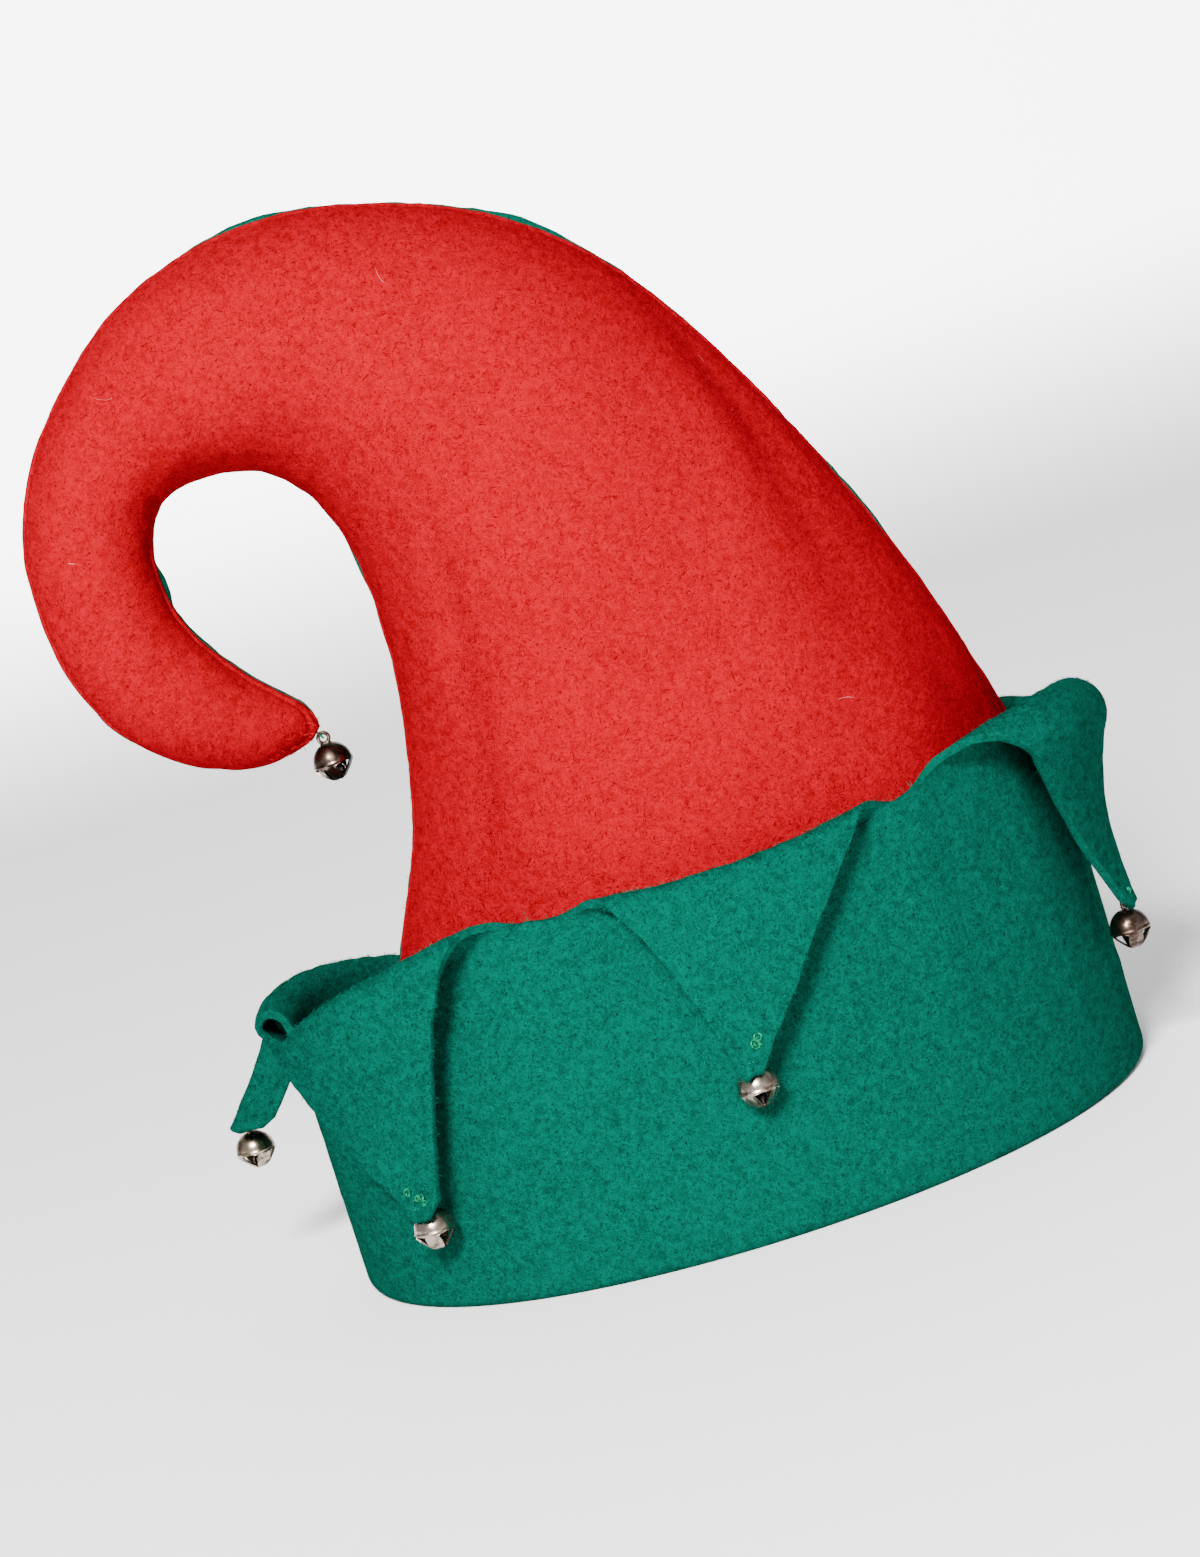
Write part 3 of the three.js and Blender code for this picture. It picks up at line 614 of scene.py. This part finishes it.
# One point's columns: the path of each is a list of [out, up] from the rim's outline, and the felt's way
# across it is square to the path in the same plane. The cut edge wavers a little.
def pointGrid(index):
    here = points[index]
    leftSpan, rightSpan = pointSpans(index)
    leftTop, middleTop, rightTop = pointTops(index)
    steps = np.linspace(-1, 1, cuff["columns"])
    share = steps + cuff["crowding"] * np.sin(2 * np.pi * steps) / np.pi
    angle = np.radians(here["at"] + share * np.where(share < 0, leftSpan, rightSpan))
    fade = np.where(share < 0, share ** 2, share ** 4)
    fullRoll, cutRoll = cuff["fold"] * here["roll"], cuff["fold"] * min(here["roll"], 1)
    roll = fullRoll + (cutRoll - fullRoll) * fade
    top = middleTop + (rightTop - leftTop) / 2 * share + ((leftTop + rightTop) / 2 - middleTop) * share ** 2
    edge = np.where(share < 0, here["leftCut"], here["rightCut"])
    wavy = 1 + waver["broad"] * np.sin(waver["broadWaves"] * share + index) * (1 - share ** 2)
    wavy = wavy + waver["fine"] * np.sin(waver["fineWaves"] * share + 2 * index)
    blunt = np.where(share < 0, here["leftBlunt"], here["rightBlunt"])
    kept = np.clip((np.abs(share) - blunt) / (1 - blunt), 0, 1)
    length = here["length"] * cuff["pointLength"] * (1 - kept) ** edge
    length = length * np.where(np.abs(share) < 0.04, 1, wavy)
    run, need, tuck, fall, lean = pointHang(index)

    corner, lipOut = cuff["corner"], -cuff["lipInset"] - halfFelt
    foot = wallOut(angle, 0.0)
    one = np.ones_like(angle)
    turns = np.radians(np.linspace(0, 90, 6))
    path = [(lipOut * one, cuff["lip"] * (1 - k / 4) * one + (halfFelt + corner) * k / 4) for k in range(4)]
    path += [(lipOut + corner * (1 - math.cos(t)) * one,
              halfFelt + corner * (1 - math.sin(t)) * one) for t in turns]
    path += [(foot - corner + corner * math.sin(t), halfFelt + corner * (1 - math.cos(t)) * one) for t in turns]
    cutBottom = leftTop + (rightTop - leftTop) * (share + 1) / 2 - cuff["cutBelow"]
    low = halfFelt + corner
    for k in range(1, cuff["lowRows"] + 1):
        z = low + (cutBottom - low) * k / cuff["lowRows"]
        path.append((wallOut(angle, z) + wallRise(angle, z), z))
    fillFrom = len(path) - 1
    for k in range(1, cuff["highRows"] + 1):
        z = cutBottom + (top - cutBottom) * k / cuff["highRows"]
        path.append((wallOut(angle, z) + wallRise(angle, z), z))
    startOut, startUp = path[-1]
    distances = [0.0 * one for _ in path]
    wallRows = len(path)
    rolled = np.minimum(length, (math.pi - lean) * roll)
    for k in range(1, cuff["rollRows"] + 1):
        s = rolled * k / cuff["rollRows"]
        path.append((startOut + roll * (1 - np.cos(s / roll)), startUp + roll * np.sin(s / roll)))
        distances.append(s)
    endOut, endUp = path[-1]
    lift = math.sqrt(max(0, (bell["radius"] + bell["room"]) ** 2 - tipRise(here["over"]) ** 2)) + halfFelt
    lift = max(0.0, lift - loopBehind)
    liftLength = 2 * (loopRise - tipRise(here["over"])) or 1.0
    for k in range(1, cuff["hangRows"] + 1):
        walked = (length - rolled) * k / cuff["hangRows"]
        s = rolled + walked
        part = walked / run
        out = need * ((1 - here["flare"]) * part + here["flare"] * part ** 3) - tuck * part * (1 - part)
        out = out - here["curl"] * cuff["pointLength"] * smoothStep((share - 0.06) / 0.2) * smoothStep(part / 0.5)
        fromTip = np.maximum(0, 1 - (here["length"] * cuff["pointLength"] - s) / liftLength)
        path.append((endOut + out + lift * fromTip ** 2, endUp - walked * fall))
        distances.append(s)
    out = np.stack([p[0] for p in path], 1)
    up = np.stack([p[1] for p in path], 1)
    walked = np.stack(distances, 1)

    stepOut, stepUp = np.gradient(out, axis=1), np.gradient(up, axis=1)
    size = np.hypot(stepOut, stepUp)
    flat = size < 1e-7
    size = np.where(flat, 1, size)
    acrossOut = np.where(flat, 0, stepUp / size)
    acrossUp = np.where(flat, 0, -stepOut / size)
    for k in range(1, acrossOut.shape[1]):  # a collapsed row keeps the way of the row before it
        acrossOut[:, k] = np.where(flat[:, k], acrossOut[:, k - 1], acrossOut[:, k])
        acrossUp[:, k] = np.where(flat[:, k], acrossUp[:, k - 1], acrossUp[:, k])
    swung = angle[:, None] + np.radians(here["sway"]) * walked / (here["length"] * cuff["pointLength"])
    outwardWay = rimOutward(swung)
    middle = rimPlace(swung) + outwardWay * out[..., None]
    middle[..., 2] = up
    outward = outwardWay * acrossOut[..., None]
    outward[..., 2] = acrossUp
    lumpy = smoothStep((up - 12) / 10) * lumps["fine"] * wander(middle, lumps["fineSize"], 93)
    return middle + lumpy[..., None] * outward, outward, fillFrom, wallRows


def makeCuff():
    rings, faces, offset = [], [], 0
    for middle, outward, fillFrom, _ in cuffGrids:
        ring = feltRings(middle, outward, halfFelt)
        rings.append(ring.reshape(-1, 3))
        faces.append(ringFaces(middle.shape[0], middle.shape[1], (fillFrom, fillFrom), offset))
        offset += ring.shape[0] * ring.shape[1]
    piece = meshPiece("cuffFelt", np.concatenate(rings), np.concatenate(faces), greenFelt)
    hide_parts("cuff")


cuffGrids = [pointGrid(index) for index in range(len(points))]
makeCuff()
print("cuff made")


# Fuzz: ribbons of three faces that start in the felt, arch over it and bend sideways, some with a free
# end that stands off. Each lies at a random place of a grid of points, chosen by area.
fuzzShape = {"shortest": 0.9, "longest": 2.8, "width": 0.15, "bend": 0.6, "arch": 0.09, "stand": 0.45,
             "standing": 0.2, "sink": 0.12, "turnedUp": 0.9, "ridgeSize": 1.1}
# How many ribbons lie on each panel, and on each point's wall, its folded face and the ridge of its fold.
fuzzCounts = {"red": 27000, "back": 15000, "wall": 2700, "hanging": 1900, "ridge": 800}


def ribbons(base, normal, ahead, length, bend, arch, stand, width):
    side = np.cross(normal, ahead)
    t = np.array([0.0, 1 / 3, 2 / 3, 1.0])[None, :, None]
    length, bend, arch, stand, width = (v[:, None, None] for v in (length, bend, arch, stand, width))
    path = base[:, None] + ahead[:, None] * length * t * (1 - 0.25 * bend ** 2 * t)
    path = path + side[:, None] * bend * length * t ** 2
    path = path + normal[:, None] * (arch * 4 * t * (1 - t) + stand * t ** 2 - fuzzShape["sink"] * (1 - t))
    half = width / 2 * np.array([0.7, 1.0, 0.9, 0.25])[None, :, None]
    both = np.stack([path - side[:, None] * half, path + side[:, None] * half], 2)
    count = len(base)
    one = np.array([[0, 1, 3, 2], [2, 3, 5, 4], [4, 5, 7, 6]])
    return both.reshape(-1, 3), (np.arange(count)[:, None, None] * 8 + one).reshape(-1, 4)


def pickPlaces(surface, normals, weight, count, own):
    a, b, c, d = surface[:-1, :-1], surface[1:, :-1], surface[1:, 1:], surface[:-1, 1:]
    area = np.linalg.norm(np.cross(b - a, d - a), axis=-1) + np.linalg.norm(np.cross(b - c, d - c), axis=-1)
    area = (area * weight[:-1, :-1]).ravel()
    chosen = own.choice(len(area), count, p=area / area.sum())
    u, v = own.uniform(size=(2, count, 1))

    def blend(grid):
        first, second, third, fourth = (g.reshape(-1, 3)[chosen] for g in
                                        (grid[:-1, :-1], grid[1:, :-1], grid[1:, 1:], grid[:-1, 1:]))
        return (1 - u) * (1 - v) * first + u * (1 - v) * second + u * v * third + (1 - u) * v * fourth

    normal = unit(blend(normals))
    ahead = unit(np.cross(normal, own.normal(size=(count, 3))))
    return blend(surface), normal, ahead


def fuzzOn(surface, normals, weight, count, seed, size=1.0, upright=fuzzShape["standing"]):
    own = np.random.default_rng(seed)
    base, normal, ahead = pickPlaces(surface, normals, weight, count, own)
    f = fuzzShape
    length = own.uniform(f["shortest"], f["longest"], count) * size
    bend = own.normal(0, f["bend"], count)
    arch = f["arch"] * own.uniform(0.3, 1.8, count)
    stand = np.where(own.uniform(size=count) < upright, own.uniform(0, f["stand"], count), 0.02) * size
    width = f["width"] * own.uniform(0.6, 1.3, count)
    return ribbons(base, normal, ahead, length, bend, arch, stand, width)


def joined(parts):
    offset, allPoints, allFaces = 0, [], []
    for places, faces in parts:
        allPoints.append(places)
        allFaces.append(faces + offset)
        offset += len(places)
    return np.concatenate(allPoints), np.concatenate(allFaces)


def makeFuzz():
    count, shown = fuzzCounts, smoothStep((frontSurface[0][..., 2] - 66) / 8)  # only above the cuff
    for name, (middle, outward), total, seed, fibre, slot in (
            ("redFuzz", frontSurface, count["red"], 11, redFibre, "red_felt"),
            ("backFuzz", backSurface, count["back"], 12, greenFibre, "green_felt")):
        plainPiece(name, *fuzzOn(middle + halfFelt * outward, outward, shown, total, seed), fibre, slot)
    wall, hanging, ridges = [], [], []
    for index, (middle, outward, _, wallRows) in enumerate(cuffGrids):
        outer, inner = middle + halfFelt * outward, middle - halfFelt * outward
        rows = np.arange(middle.shape[1])
        onWall, folded, ridge = (np.broadcast_to(chosen.astype(float), middle.shape[:2]) for chosen in (
            rows >= 12, rows >= wallRows - 4, (rows >= wallRows - 2) & (rows <= wallRows + 8)))
        wall.append(fuzzOn(outer, outward, onWall, count["wall"], 20 + index))
        hanging.append(fuzzOn(inner, -outward, folded, count["hanging"], 30 + index))
        ridges.append(fuzzOn(inner, -outward, ridge, count["ridge"], 40 + index,
                             fuzzShape["ridgeSize"], fuzzShape["turnedUp"]))
    plainPiece("cuffFuzz", *joined(wall + hanging + ridges), greenFibre, "green_felt")


makeFuzz()
print("fuzz made")


# Frayed fibres along the cut edges of the points: they start in the felt's rounded edge and lead off it.
fray = {"count": 420, "shortest": 0.5, "longest": 1.7, "width": 0.075, "start": 0.25, "spread": 0.9}


def makeFray():
    own = np.random.default_rng(57)
    parts = []
    for middle, outward, _, _ in cuffGrids:
        edge, before, out = middle[:, -1], middle[:, -4], outward[:, -1]
        along = np.linalg.norm(np.diff(edge, axis=0), axis=1)
        count = fray["count"]
        cell = own.choice(len(along), count, p=along / along.sum())
        u = own.uniform(size=(count, 1))
        base = edge[cell] * (1 - u) + edge[cell + 1] * u
        normal = unit(out[cell])
        off = unit(edge[cell] - before[cell])
        side = unit(edge[cell + 1] - edge[cell])
        ahead = unit(off * own.uniform(0.3, 1.0, (count, 1)) + side * own.normal(0, 0.7, (count, 1)))
        base = base + normal * own.uniform(-fray["spread"], fray["spread"], (count, 1)) + off * fray["start"]
        length = own.uniform(fray["shortest"], fray["longest"], count)
        parts.append(ribbons(base, normal, unit(ahead - normal * (ahead * normal).sum(1, keepdims=True)), length,
                             own.normal(0, 0.6, count), own.normal(0, 0.15, count), own.normal(0, 0.35, count),
                             np.full(count, fray["width"])))
    plainPiece("cuffFray", *joined(parts), greenFibre, "green_felt")


# Loose pale fibres on the front panel: along the crown, degrees round and length in millimetres.
strayFibres = [(0.367, 92.5, 7.0), (0.531, 165.5, 5.0), (0.349, 18, 6.0), (0.30, 75, 4.0), (0.24, 110, 5.0),
               (0.60, 70, 5.0), (0.45, 60, 4.5), (0.70, 90, 4.0), (0.20, 60, 5.0), (0.28, 150, 4.0)]


def makeStrays():
    own = np.random.default_rng(58)
    middle, outward = frontSurface
    parts = []
    for along, around, length in strayFibres:
        i = 1 + int(round(along * (crown["stations"] - 1)))
        j = int(np.argmin(np.abs(crownTurns() - around)))
        normal = unit(outward[i, j])[None]
        base = middle[i, j][None] + halfFelt * normal
        ahead = unit(np.cross(normal, own.normal(size=(1, 3))))
        parts.append(ribbons(base, normal, ahead, np.array([length]), own.normal(0, 0.5, 1),
                             np.array([0.25]), np.array([0.3]), np.array([0.10])))
    plainPiece("strayFibres", *joined(parts), paleFibre, "red_felt")


makeFray()
makeStrays()
print("loose fibres made")


# Bells: a round shell whose lower half is four petals bent in to a blunt point. The cross slit between
# them is a wide wedge under the middle and closes downward, with a raised lip along it, and a thin seam
# runs round the middle. A wire loop stands on top.
bellShape = {"columns": 16, "topRows": 16, "rows": 40, "wall": 0.45, "slitStart": 96.0, "wedge": 0.44,
             "wedgeEnd": 0.74, "hair": 0.035, "lip": 0.26, "lipWidth": 0.12, "seamAt": 92.0, "seamRise": 0.22,
             "endAngle": 172.0, "pinch": 0.20, "wire": 0.5, "slack": 0.14, "seamWidth": 2.6}


# The shell over the angle t down from the top and the share c across a petal. The radius is the bell's
# own, less the wall for the inner face, plus the seam's ridge and the slit's lips, and the lower half is
# pinched towards its point.
def bellShell(inner):
    s = bellShape
    top = np.linspace(0, s["slitStart"], s["topRows"] + 8)
    t = np.radians(np.concatenate([top, np.linspace(s["slitStart"], s["endAngle"], s["rows"])[1:]]))
    c = np.linspace(0, 1, s["columns"] + 1)
    c = c - 0.10 * np.sin(2 * np.pi * c)
    low = np.clip((np.degrees(t) - s["slitStart"]) / (s["endAngle"] - s["slitStart"]), 0, 1)
    wedge = s["wedge"] * smoothStep(low / 0.05) * np.clip(1 - low / s["wedgeEnd"], 0, 1) ** 0.9
    slit = wedge + s["hair"] * smoothStep(low / 0.05)
    lips = smoothStep(low / 0.06) * (1 - 0.6 * smoothStep((low - 0.5) / 0.5))
    seamRidge = s["seamRise"] * np.exp(-((np.degrees(t) - s["seamAt"]) / s["seamWidth"]) ** 2)
    layers = []
    for petal in range(4):
        turn = petal * np.pi / 2 + slit[:, None] + (np.pi / 2 - 2 * slit[:, None]) * c[None, :]
        near = np.exp(-(np.minimum(c, 1 - c) / s["lipWidth"]) ** 2)[None, :]
        radius = bell["radius"] - (s["wall"] if inner else 0.0) + s["lip"] * lips[:, None] * near
        radius = radius + (0.0 if inner else 1.0) * seamRidge[:, None] - s["slack"]
        wide = radius * np.sin(t)[:, None] * (1 - s["pinch"] * np.sin(np.pi * low ** 1.3)[:, None])
        high = radius * np.cos(t)[:, None]
        layers.append(np.stack([wide * np.cos(turn), wide * np.sin(turn), high + 0 * turn], -1))
    return np.stack(layers)


def bellGeometry():
    outer, inner = bellShell(False), bellShell(True)
    petals, rows, columns = outer.shape[:3]
    index = np.arange(petals * rows * columns).reshape(petals, rows, columns)
    total = index.size
    walls = quads(index[:, :-1, :-1], index[:, 1:, :-1], index[:, 1:, 1:], index[:, :-1, 1:])
    edges = [index[:, bellShape["topRows"] + 7:, 0], index[:, bellShape["topRows"] + 7:, -1], index[:, -1]]
    rims = [quads(e[:, :-1], e[:, 1:], e[:, 1:] + total, e[:, :-1] + total) for e in edges]
    places = np.concatenate([outer.reshape(-1, 3), inner.reshape(-1, 3)])
    return places, np.concatenate([walls, walls + total] + rims)


# A tube round a line of points, closed in a ring or with two round ends.
def tube(line, radius, sides, closed):
    line = np.asarray(line, float)
    if closed:
        ahead = unit(np.roll(line, -1, 0) - np.roll(line, 1, 0))
    else:
        ways = np.gradient(line, axis=0)
        line = np.concatenate([line[:1] - unit(ways[:1]) * radius * 0.5, line,
                               line[-1:] + unit(ways[-1:]) * radius * 0.5])
        ahead = unit(np.gradient(line, axis=0))
    radii = np.full(len(line), float(radius))
    if not closed:
        radii[[0, -1]] = radius * 0.3
    lead = np.array([0.31, 0.52, 0.79])
    normals = [unit(np.cross(ahead[0], lead))]
    for way in ahead[1:]:
        normals.append(unit(normals[-1] - way * (normals[-1] @ way)))
    normals = np.array(normals)
    if closed:
        slip = math.atan2(np.cross(normals[-1], normals[0]) @ ahead[0], normals[-1] @ normals[0])
        turns = slip * np.arange(len(line)) / len(line)
        binormals = np.cross(ahead, normals)
        normals = np.cos(turns)[:, None] * normals + np.sin(turns)[:, None] * binormals
    binormals = np.cross(ahead, normals)
    turn = np.linspace(0, 2 * np.pi, sides, endpoint=False)[None, :, None]
    section = np.cos(turn) * normals[:, None] + np.sin(turn) * binormals[:, None]
    places = line[:, None] + radii[:, None, None] * section
    count = len(line)
    i, j = np.meshgrid(np.arange(count if closed else count - 1), np.arange(sides), indexing="ij")
    k, m = (i + 1) % count, (j + 1) % sides
    faces = quads(i * sides + j, k * sides + j, k * sides + m, i * sides + m)
    places = places.reshape(-1, 3)
    if not closed:
        ends = np.array([line[0] - ahead[0] * radius * 0.2, line[-1] + ahead[-1] * radius * 0.2])
        places = np.concatenate([places, ends])
        m = np.arange(sides)
        n = (m + 1) % sides
        start, end = count * sides, (count - 1) * sides
        first = quads(np.full(sides, start), n, m, m)
        last = quads(np.full(sides, start + 1), end + m, end + n, end + n)
        faces = np.concatenate([faces, first, last])
    return places, faces


# The shape of one bell turned about its own axis and then tipped over to the right.
def placedBell(places, turn, lean):
    a, b = math.radians(turn), math.radians(lean)
    about = np.array([[math.cos(a), -math.sin(a), 0], [math.sin(a), math.cos(a), 0], [0, 0, 1]])
    sideways = np.array([[math.cos(b), 0, math.sin(b)], [0, 1, 0], [-math.sin(b), 0, math.cos(b)]])
    return places @ (sideways @ about).T


# Turn is the direction that a slit faces from the right-hand axis, so -90 faces the camera, loop is the turn
# of the wire. Lean is the solid bell's own, which places the middle, and swing is the shown bell's: both are
# the degrees that its top is tipped to the right, and 0 where not given.
bells = {
    "bell_1": {"turn": -20, "look": "brass", "loop": -107},
    "bell_2": {"turn": -58, "look": "pewter", "loop": -47},
    "bell_3": {"turn": -84, "look": "pewter", "loop": 2},
    "bell_4": {"turn": -40, "look": "brown", "loop": 71},
    "bell_5": {"turn": 30, "look": "brass", "loop": 121},
    "bell_6": {"turn": 80, "look": "pewter", "loop": 189},
    "bell_peak": {"turn": -60, "lean": -22, "swing": -5, "look": "brown", "loop": 0},
}
bellCentres = {}


def makeBells():
    shell, shellFaces = bellGeometry()
    around = np.linspace(0, 2 * np.pi, 32, endpoint=False)
    loopLine = np.stack([bell["loopRadius"] * np.cos(around), 0 * around,
                         loopRise + bell["loopRadius"] * np.sin(around)], -1)
    loop, loopFaces = tube(loopLine, bellShape["wire"], 10, True)
    for name, way in bells.items():
        low, high = (np.array(corner) * 1000 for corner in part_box(name))
        centre = np.array([(low[0] + high[0]) / 2, (low[1] + high[1]) / 2, low[2] + bell["radius"]])
        if "lean" in way:
            lean = math.radians(way["lean"])
            rest = sum(np.array(corner) * 1000 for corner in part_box(name.replace("bell", "pellet"))) / 2
            inside = bell["radius"] - bell["wall"] - felt["clearance"] - bell["pelletRadius"]
            centre = rest + inside * np.array([math.sin(lean), 0, math.cos(lean)])
        bellCentres[name] = centre - hatShift
        body = placedBell(shell, way["turn"], way.get("swing", 0)) + centre
        ring = placedBell(loop, way["loop"], way.get("swing", 0)) + centre
        metal = metals[way["look"]]
        piece = meshPiece(name.replace("bell_", "bellShell_"), body, shellFaces, metal, 55, False)
        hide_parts(name)
        meshPiece(name.replace("bell_", "bellLoop_"), ring, loopFaces, metal, None, False)
        pellet = bpy.data.objects[name.replace("bell", "pellet")]
        pellet.data.materials.clear()
        pellet.data.materials.append(metals["shot"])


makeBells()
print("bells made")


# Sewing: loops and dashes of thread on the points' tips, and a few strands from each tip through its
# bell's loop. A place on a point's folded face is given by how far it is to the right of the middle and
# above the tip.
def tipPlace(index, sideways, above):
    middle, outward, _, wallRows = cuffGrids[index]
    column, row = len(middle) // 2, wallRows + cuff["rollRows"]
    line, way = middle[column, row:], -outward[column, row:]
    k = int(np.argmin(np.abs(line[:, 2] - middle[column, -1, 2] - above)))
    side = unit(np.cross([0, 0, 1.0], way[k]))
    return line[k] + halfFelt * way[k] + sideways * side, unit(way[k]), side


# A flat loop of thread that lies on the felt, with its two short sides lifted.
def threadLoop(place, out, side, across, tall, turn=0.0):
    t = np.linspace(0, 2 * np.pi, 15)[:-1]
    rise = np.cross(out, side)
    a, b = math.cos(turn), math.sin(turn)
    x, z = across / 2 * np.cos(t), tall / 2 * np.sin(t)
    return place + (a * x - b * z)[:, None] * side + (b * x + a * z)[:, None] * rise \
        + (0.12 + 0.16 * np.cos(2 * t))[:, None] * out


# Each loop: point, sideways, above, width, height and turn in radians.
sewing = {"thread": 0.22, "fine": 0.13, "gathers": (8, 24, 38, 50, 62, 76, 91),
          "loops": [(2, 1.6, 5.0, 1.9, 2.1, 0.3), (2, 2.4, 7.1, 1.8, 1.7, 0.1), (2, 1.9, 6.1, 1.1, 0.9, 0.8),
                    (1, -1.0, 6.0, 1.6, 1.9, -0.3), (1, 1.5, 5.0, 1.8, 1.3, 0.4), (1, 2.6, 4.7, 1.6, 1.7, -0.5),
                    (1, 3.1, 4.0, 1.3, 1.1, 0.9), (3, 0.4, 3.4, 1.2, 1.4, 0.2),
                    (4, 0.3, 4.6, 1.5, 1.6, 0.1), (4, 0.9, 6.4, 1.4, 1.5, 0.6), (5, -0.4, 4.6, 1.5, 1.6, -0.2),
                    (5, 0.5, 6.6, 1.4, 1.5, 0.4), (0, -0.6, 2.8, 0.9, 1.6, 0.2), (0, -0.5, 5.4, 0.6, 1.8, 0.3)]}


def makeSewing():
    own = np.random.default_rng(59)
    parts = []
    for index, sideways, above, across, tall, turn in sewing["loops"]:
        place, out, side = tipPlace(index, sideways, above)
        parts.append(tube(threadLoop(place, out, side, across, tall, turn), sewing["thread"], 6, True))
        for _ in range(3):  # a few short ends beside each loop
            start = place + side * own.normal(0, 0.5) + out * 0.05
            end = start + side * own.normal(0, 0.6) - np.array([0, 0, own.uniform(0.3, 1.1)])
            end = end + out * own.uniform(0.1, 0.4)
            bow = (start + end) / 2 + out * 0.3
            parts.append(tube([start, bow, end], sewing["fine"], 5, False))
    for index in range(len(points)):
        centre = bellCentres["bell_%d" % (index + 1)]
        loopTop = centre + np.array([0, 0, loopRise + bell["loopRadius"]])
        place, out, side = tipPlace(index, 0.0, 1.6)
        for strand in (-1, 1):
            below = loopTop - np.array([0, 0, 0.9]) + side * 0.35 * strand
            over = (place + below) / 2 + out * 0.5 + np.array([0, 0, 0.6])
            parts.append(tube([place + side * 0.5 * strand, over, below], sewing["thread"], 6, False))
    plainPiece("greenSewing", *joined(parts), greenThread, "green_felt")

    # The peak: red gathering stitches over its end, and green strands through the bell's loop.
    lean = math.radians(bells["bell_peak"]["swing"])
    up = np.array([math.sin(lean), 0, math.cos(lean)])
    loopMiddle = bellCentres["bell_peak"] + up * loopRise
    tip = (frontSurface[0][-1, 0] + frontSurface[0][-1, -1]) / 2
    parts = []
    for surface in (frontSurface, backSurface):
        face = surface[0] + (halfFelt + 0.06) * surface[1]
        for k, column in enumerate(sewing["gathers"]):
            line = face[[-2, -3, -4 - k % 3, -6 - k % 3], column]
            parts.append(tube(line, sewing["fine"] * 1.3, 5, False))
    plainPiece("redSewing", *joined(parts), redThread, "red_felt")
    parts = []
    for strand in (-0.4, 0.0, 0.45):
        aside = np.array([0.0, strand, 0.0])
        parts.append(tube([tip + aside, (tip + loopMiddle) / 2 + aside + up * 0.3, loopMiddle + aside * 1.4],
                          sewing["thread"], 6, False))
    plainPiece("peakThread", *joined(parts), greenThread, "green_felt")


makeSewing()
print("sewing made")


# Studio: a pale floor that sweeps up far behind, a surround, and soft lights on the hat and on the wall.
studio = {"floor": (0.97, 0.97, 0.97), "reach": 6.0, "sweep": 2.0, "behind": 3.0, "wall": 4.0, "world": 0.50,
          "key": {"at": (-0.38, -1.75, 1.25), "aim": (0, 0, 0.11), "size": 0.6, "power": 160.0},
          "fill": {"at": (0.9, -1.7, 0.6), "aim": (0, 0, 0.11), "size": 1.2, "power": 2.0},
          "back": {"at": (0.0, 2.2, 2.4), "aim": (0, 5.0, 1.0), "size": 2.0, "power": 560.0}}


# The sweep: flat floor, a quarter circle and a wall, carried sideways.
def makeFloor():
    turn = np.radians(np.linspace(0, 90, 24))
    radius = studio["sweep"]
    back = studio["behind"]
    y = np.concatenate([[-studio["reach"]], back + radius * np.sin(turn), [back + radius]])
    z = np.concatenate([[0], radius * (1 - np.cos(turn)), [radius + studio["wall"]]])
    x = np.array([-studio["reach"], studio["reach"]])
    grid = np.stack(np.meshgrid(x, y, indexing="ij") + [np.broadcast_to(z, (2, len(z)))], -1)
    count = len(y)
    i = np.arange(count - 1)
    mesh = bpy.data.meshes.new("studioFloor")
    faces = quads(i, count + i, count + i + 1, i + 1)
    mesh.from_pydata(grid.reshape(-1, 3).tolist(), [], faces.tolist())
    mesh.polygons.foreach_set("use_smooth", np.ones(count - 1, bool))
    material, shader = newMaterial("studioPaper")
    setInputs(material, shader, {"Base Color": studio["floor"], "Roughness": 0.9, "Specular IOR Level": 0.1})
    mesh.materials.append(material)
    floor = bpy.data.objects.new("studioFloor", mesh)
    bpy.context.scene.collection.objects.link(floor)


def makeLight(name, light):
    data = bpy.data.lights.new(name, "AREA")
    data.shape = "DISK"
    data.size = light["size"]
    data.energy = light["power"]
    lamp = bpy.data.objects.new(name, data)
    place = np.array(light["at"])
    aim = np.array(light["aim"]) - place
    lamp.location = place
    lamp.rotation_euler = (math.acos(-aim[2] / np.linalg.norm(aim)), 0, math.atan2(-aim[0], aim[1]))
    bpy.context.scene.collection.objects.link(lamp)


makeFloor()
for name in ("key", "fill", "back"):
    makeLight(name + "Light", studio[name])
world = bpy.data.worlds.new("studioWorld")
world.use_nodes = True
surround = world.node_tree.nodes["Background"]
surround.inputs["Color"].default_value = (1, 1, 1, 1)
surround.inputs["Strength"].default_value = studio["world"]
bpy.context.scene.world = world
print("studio lit")
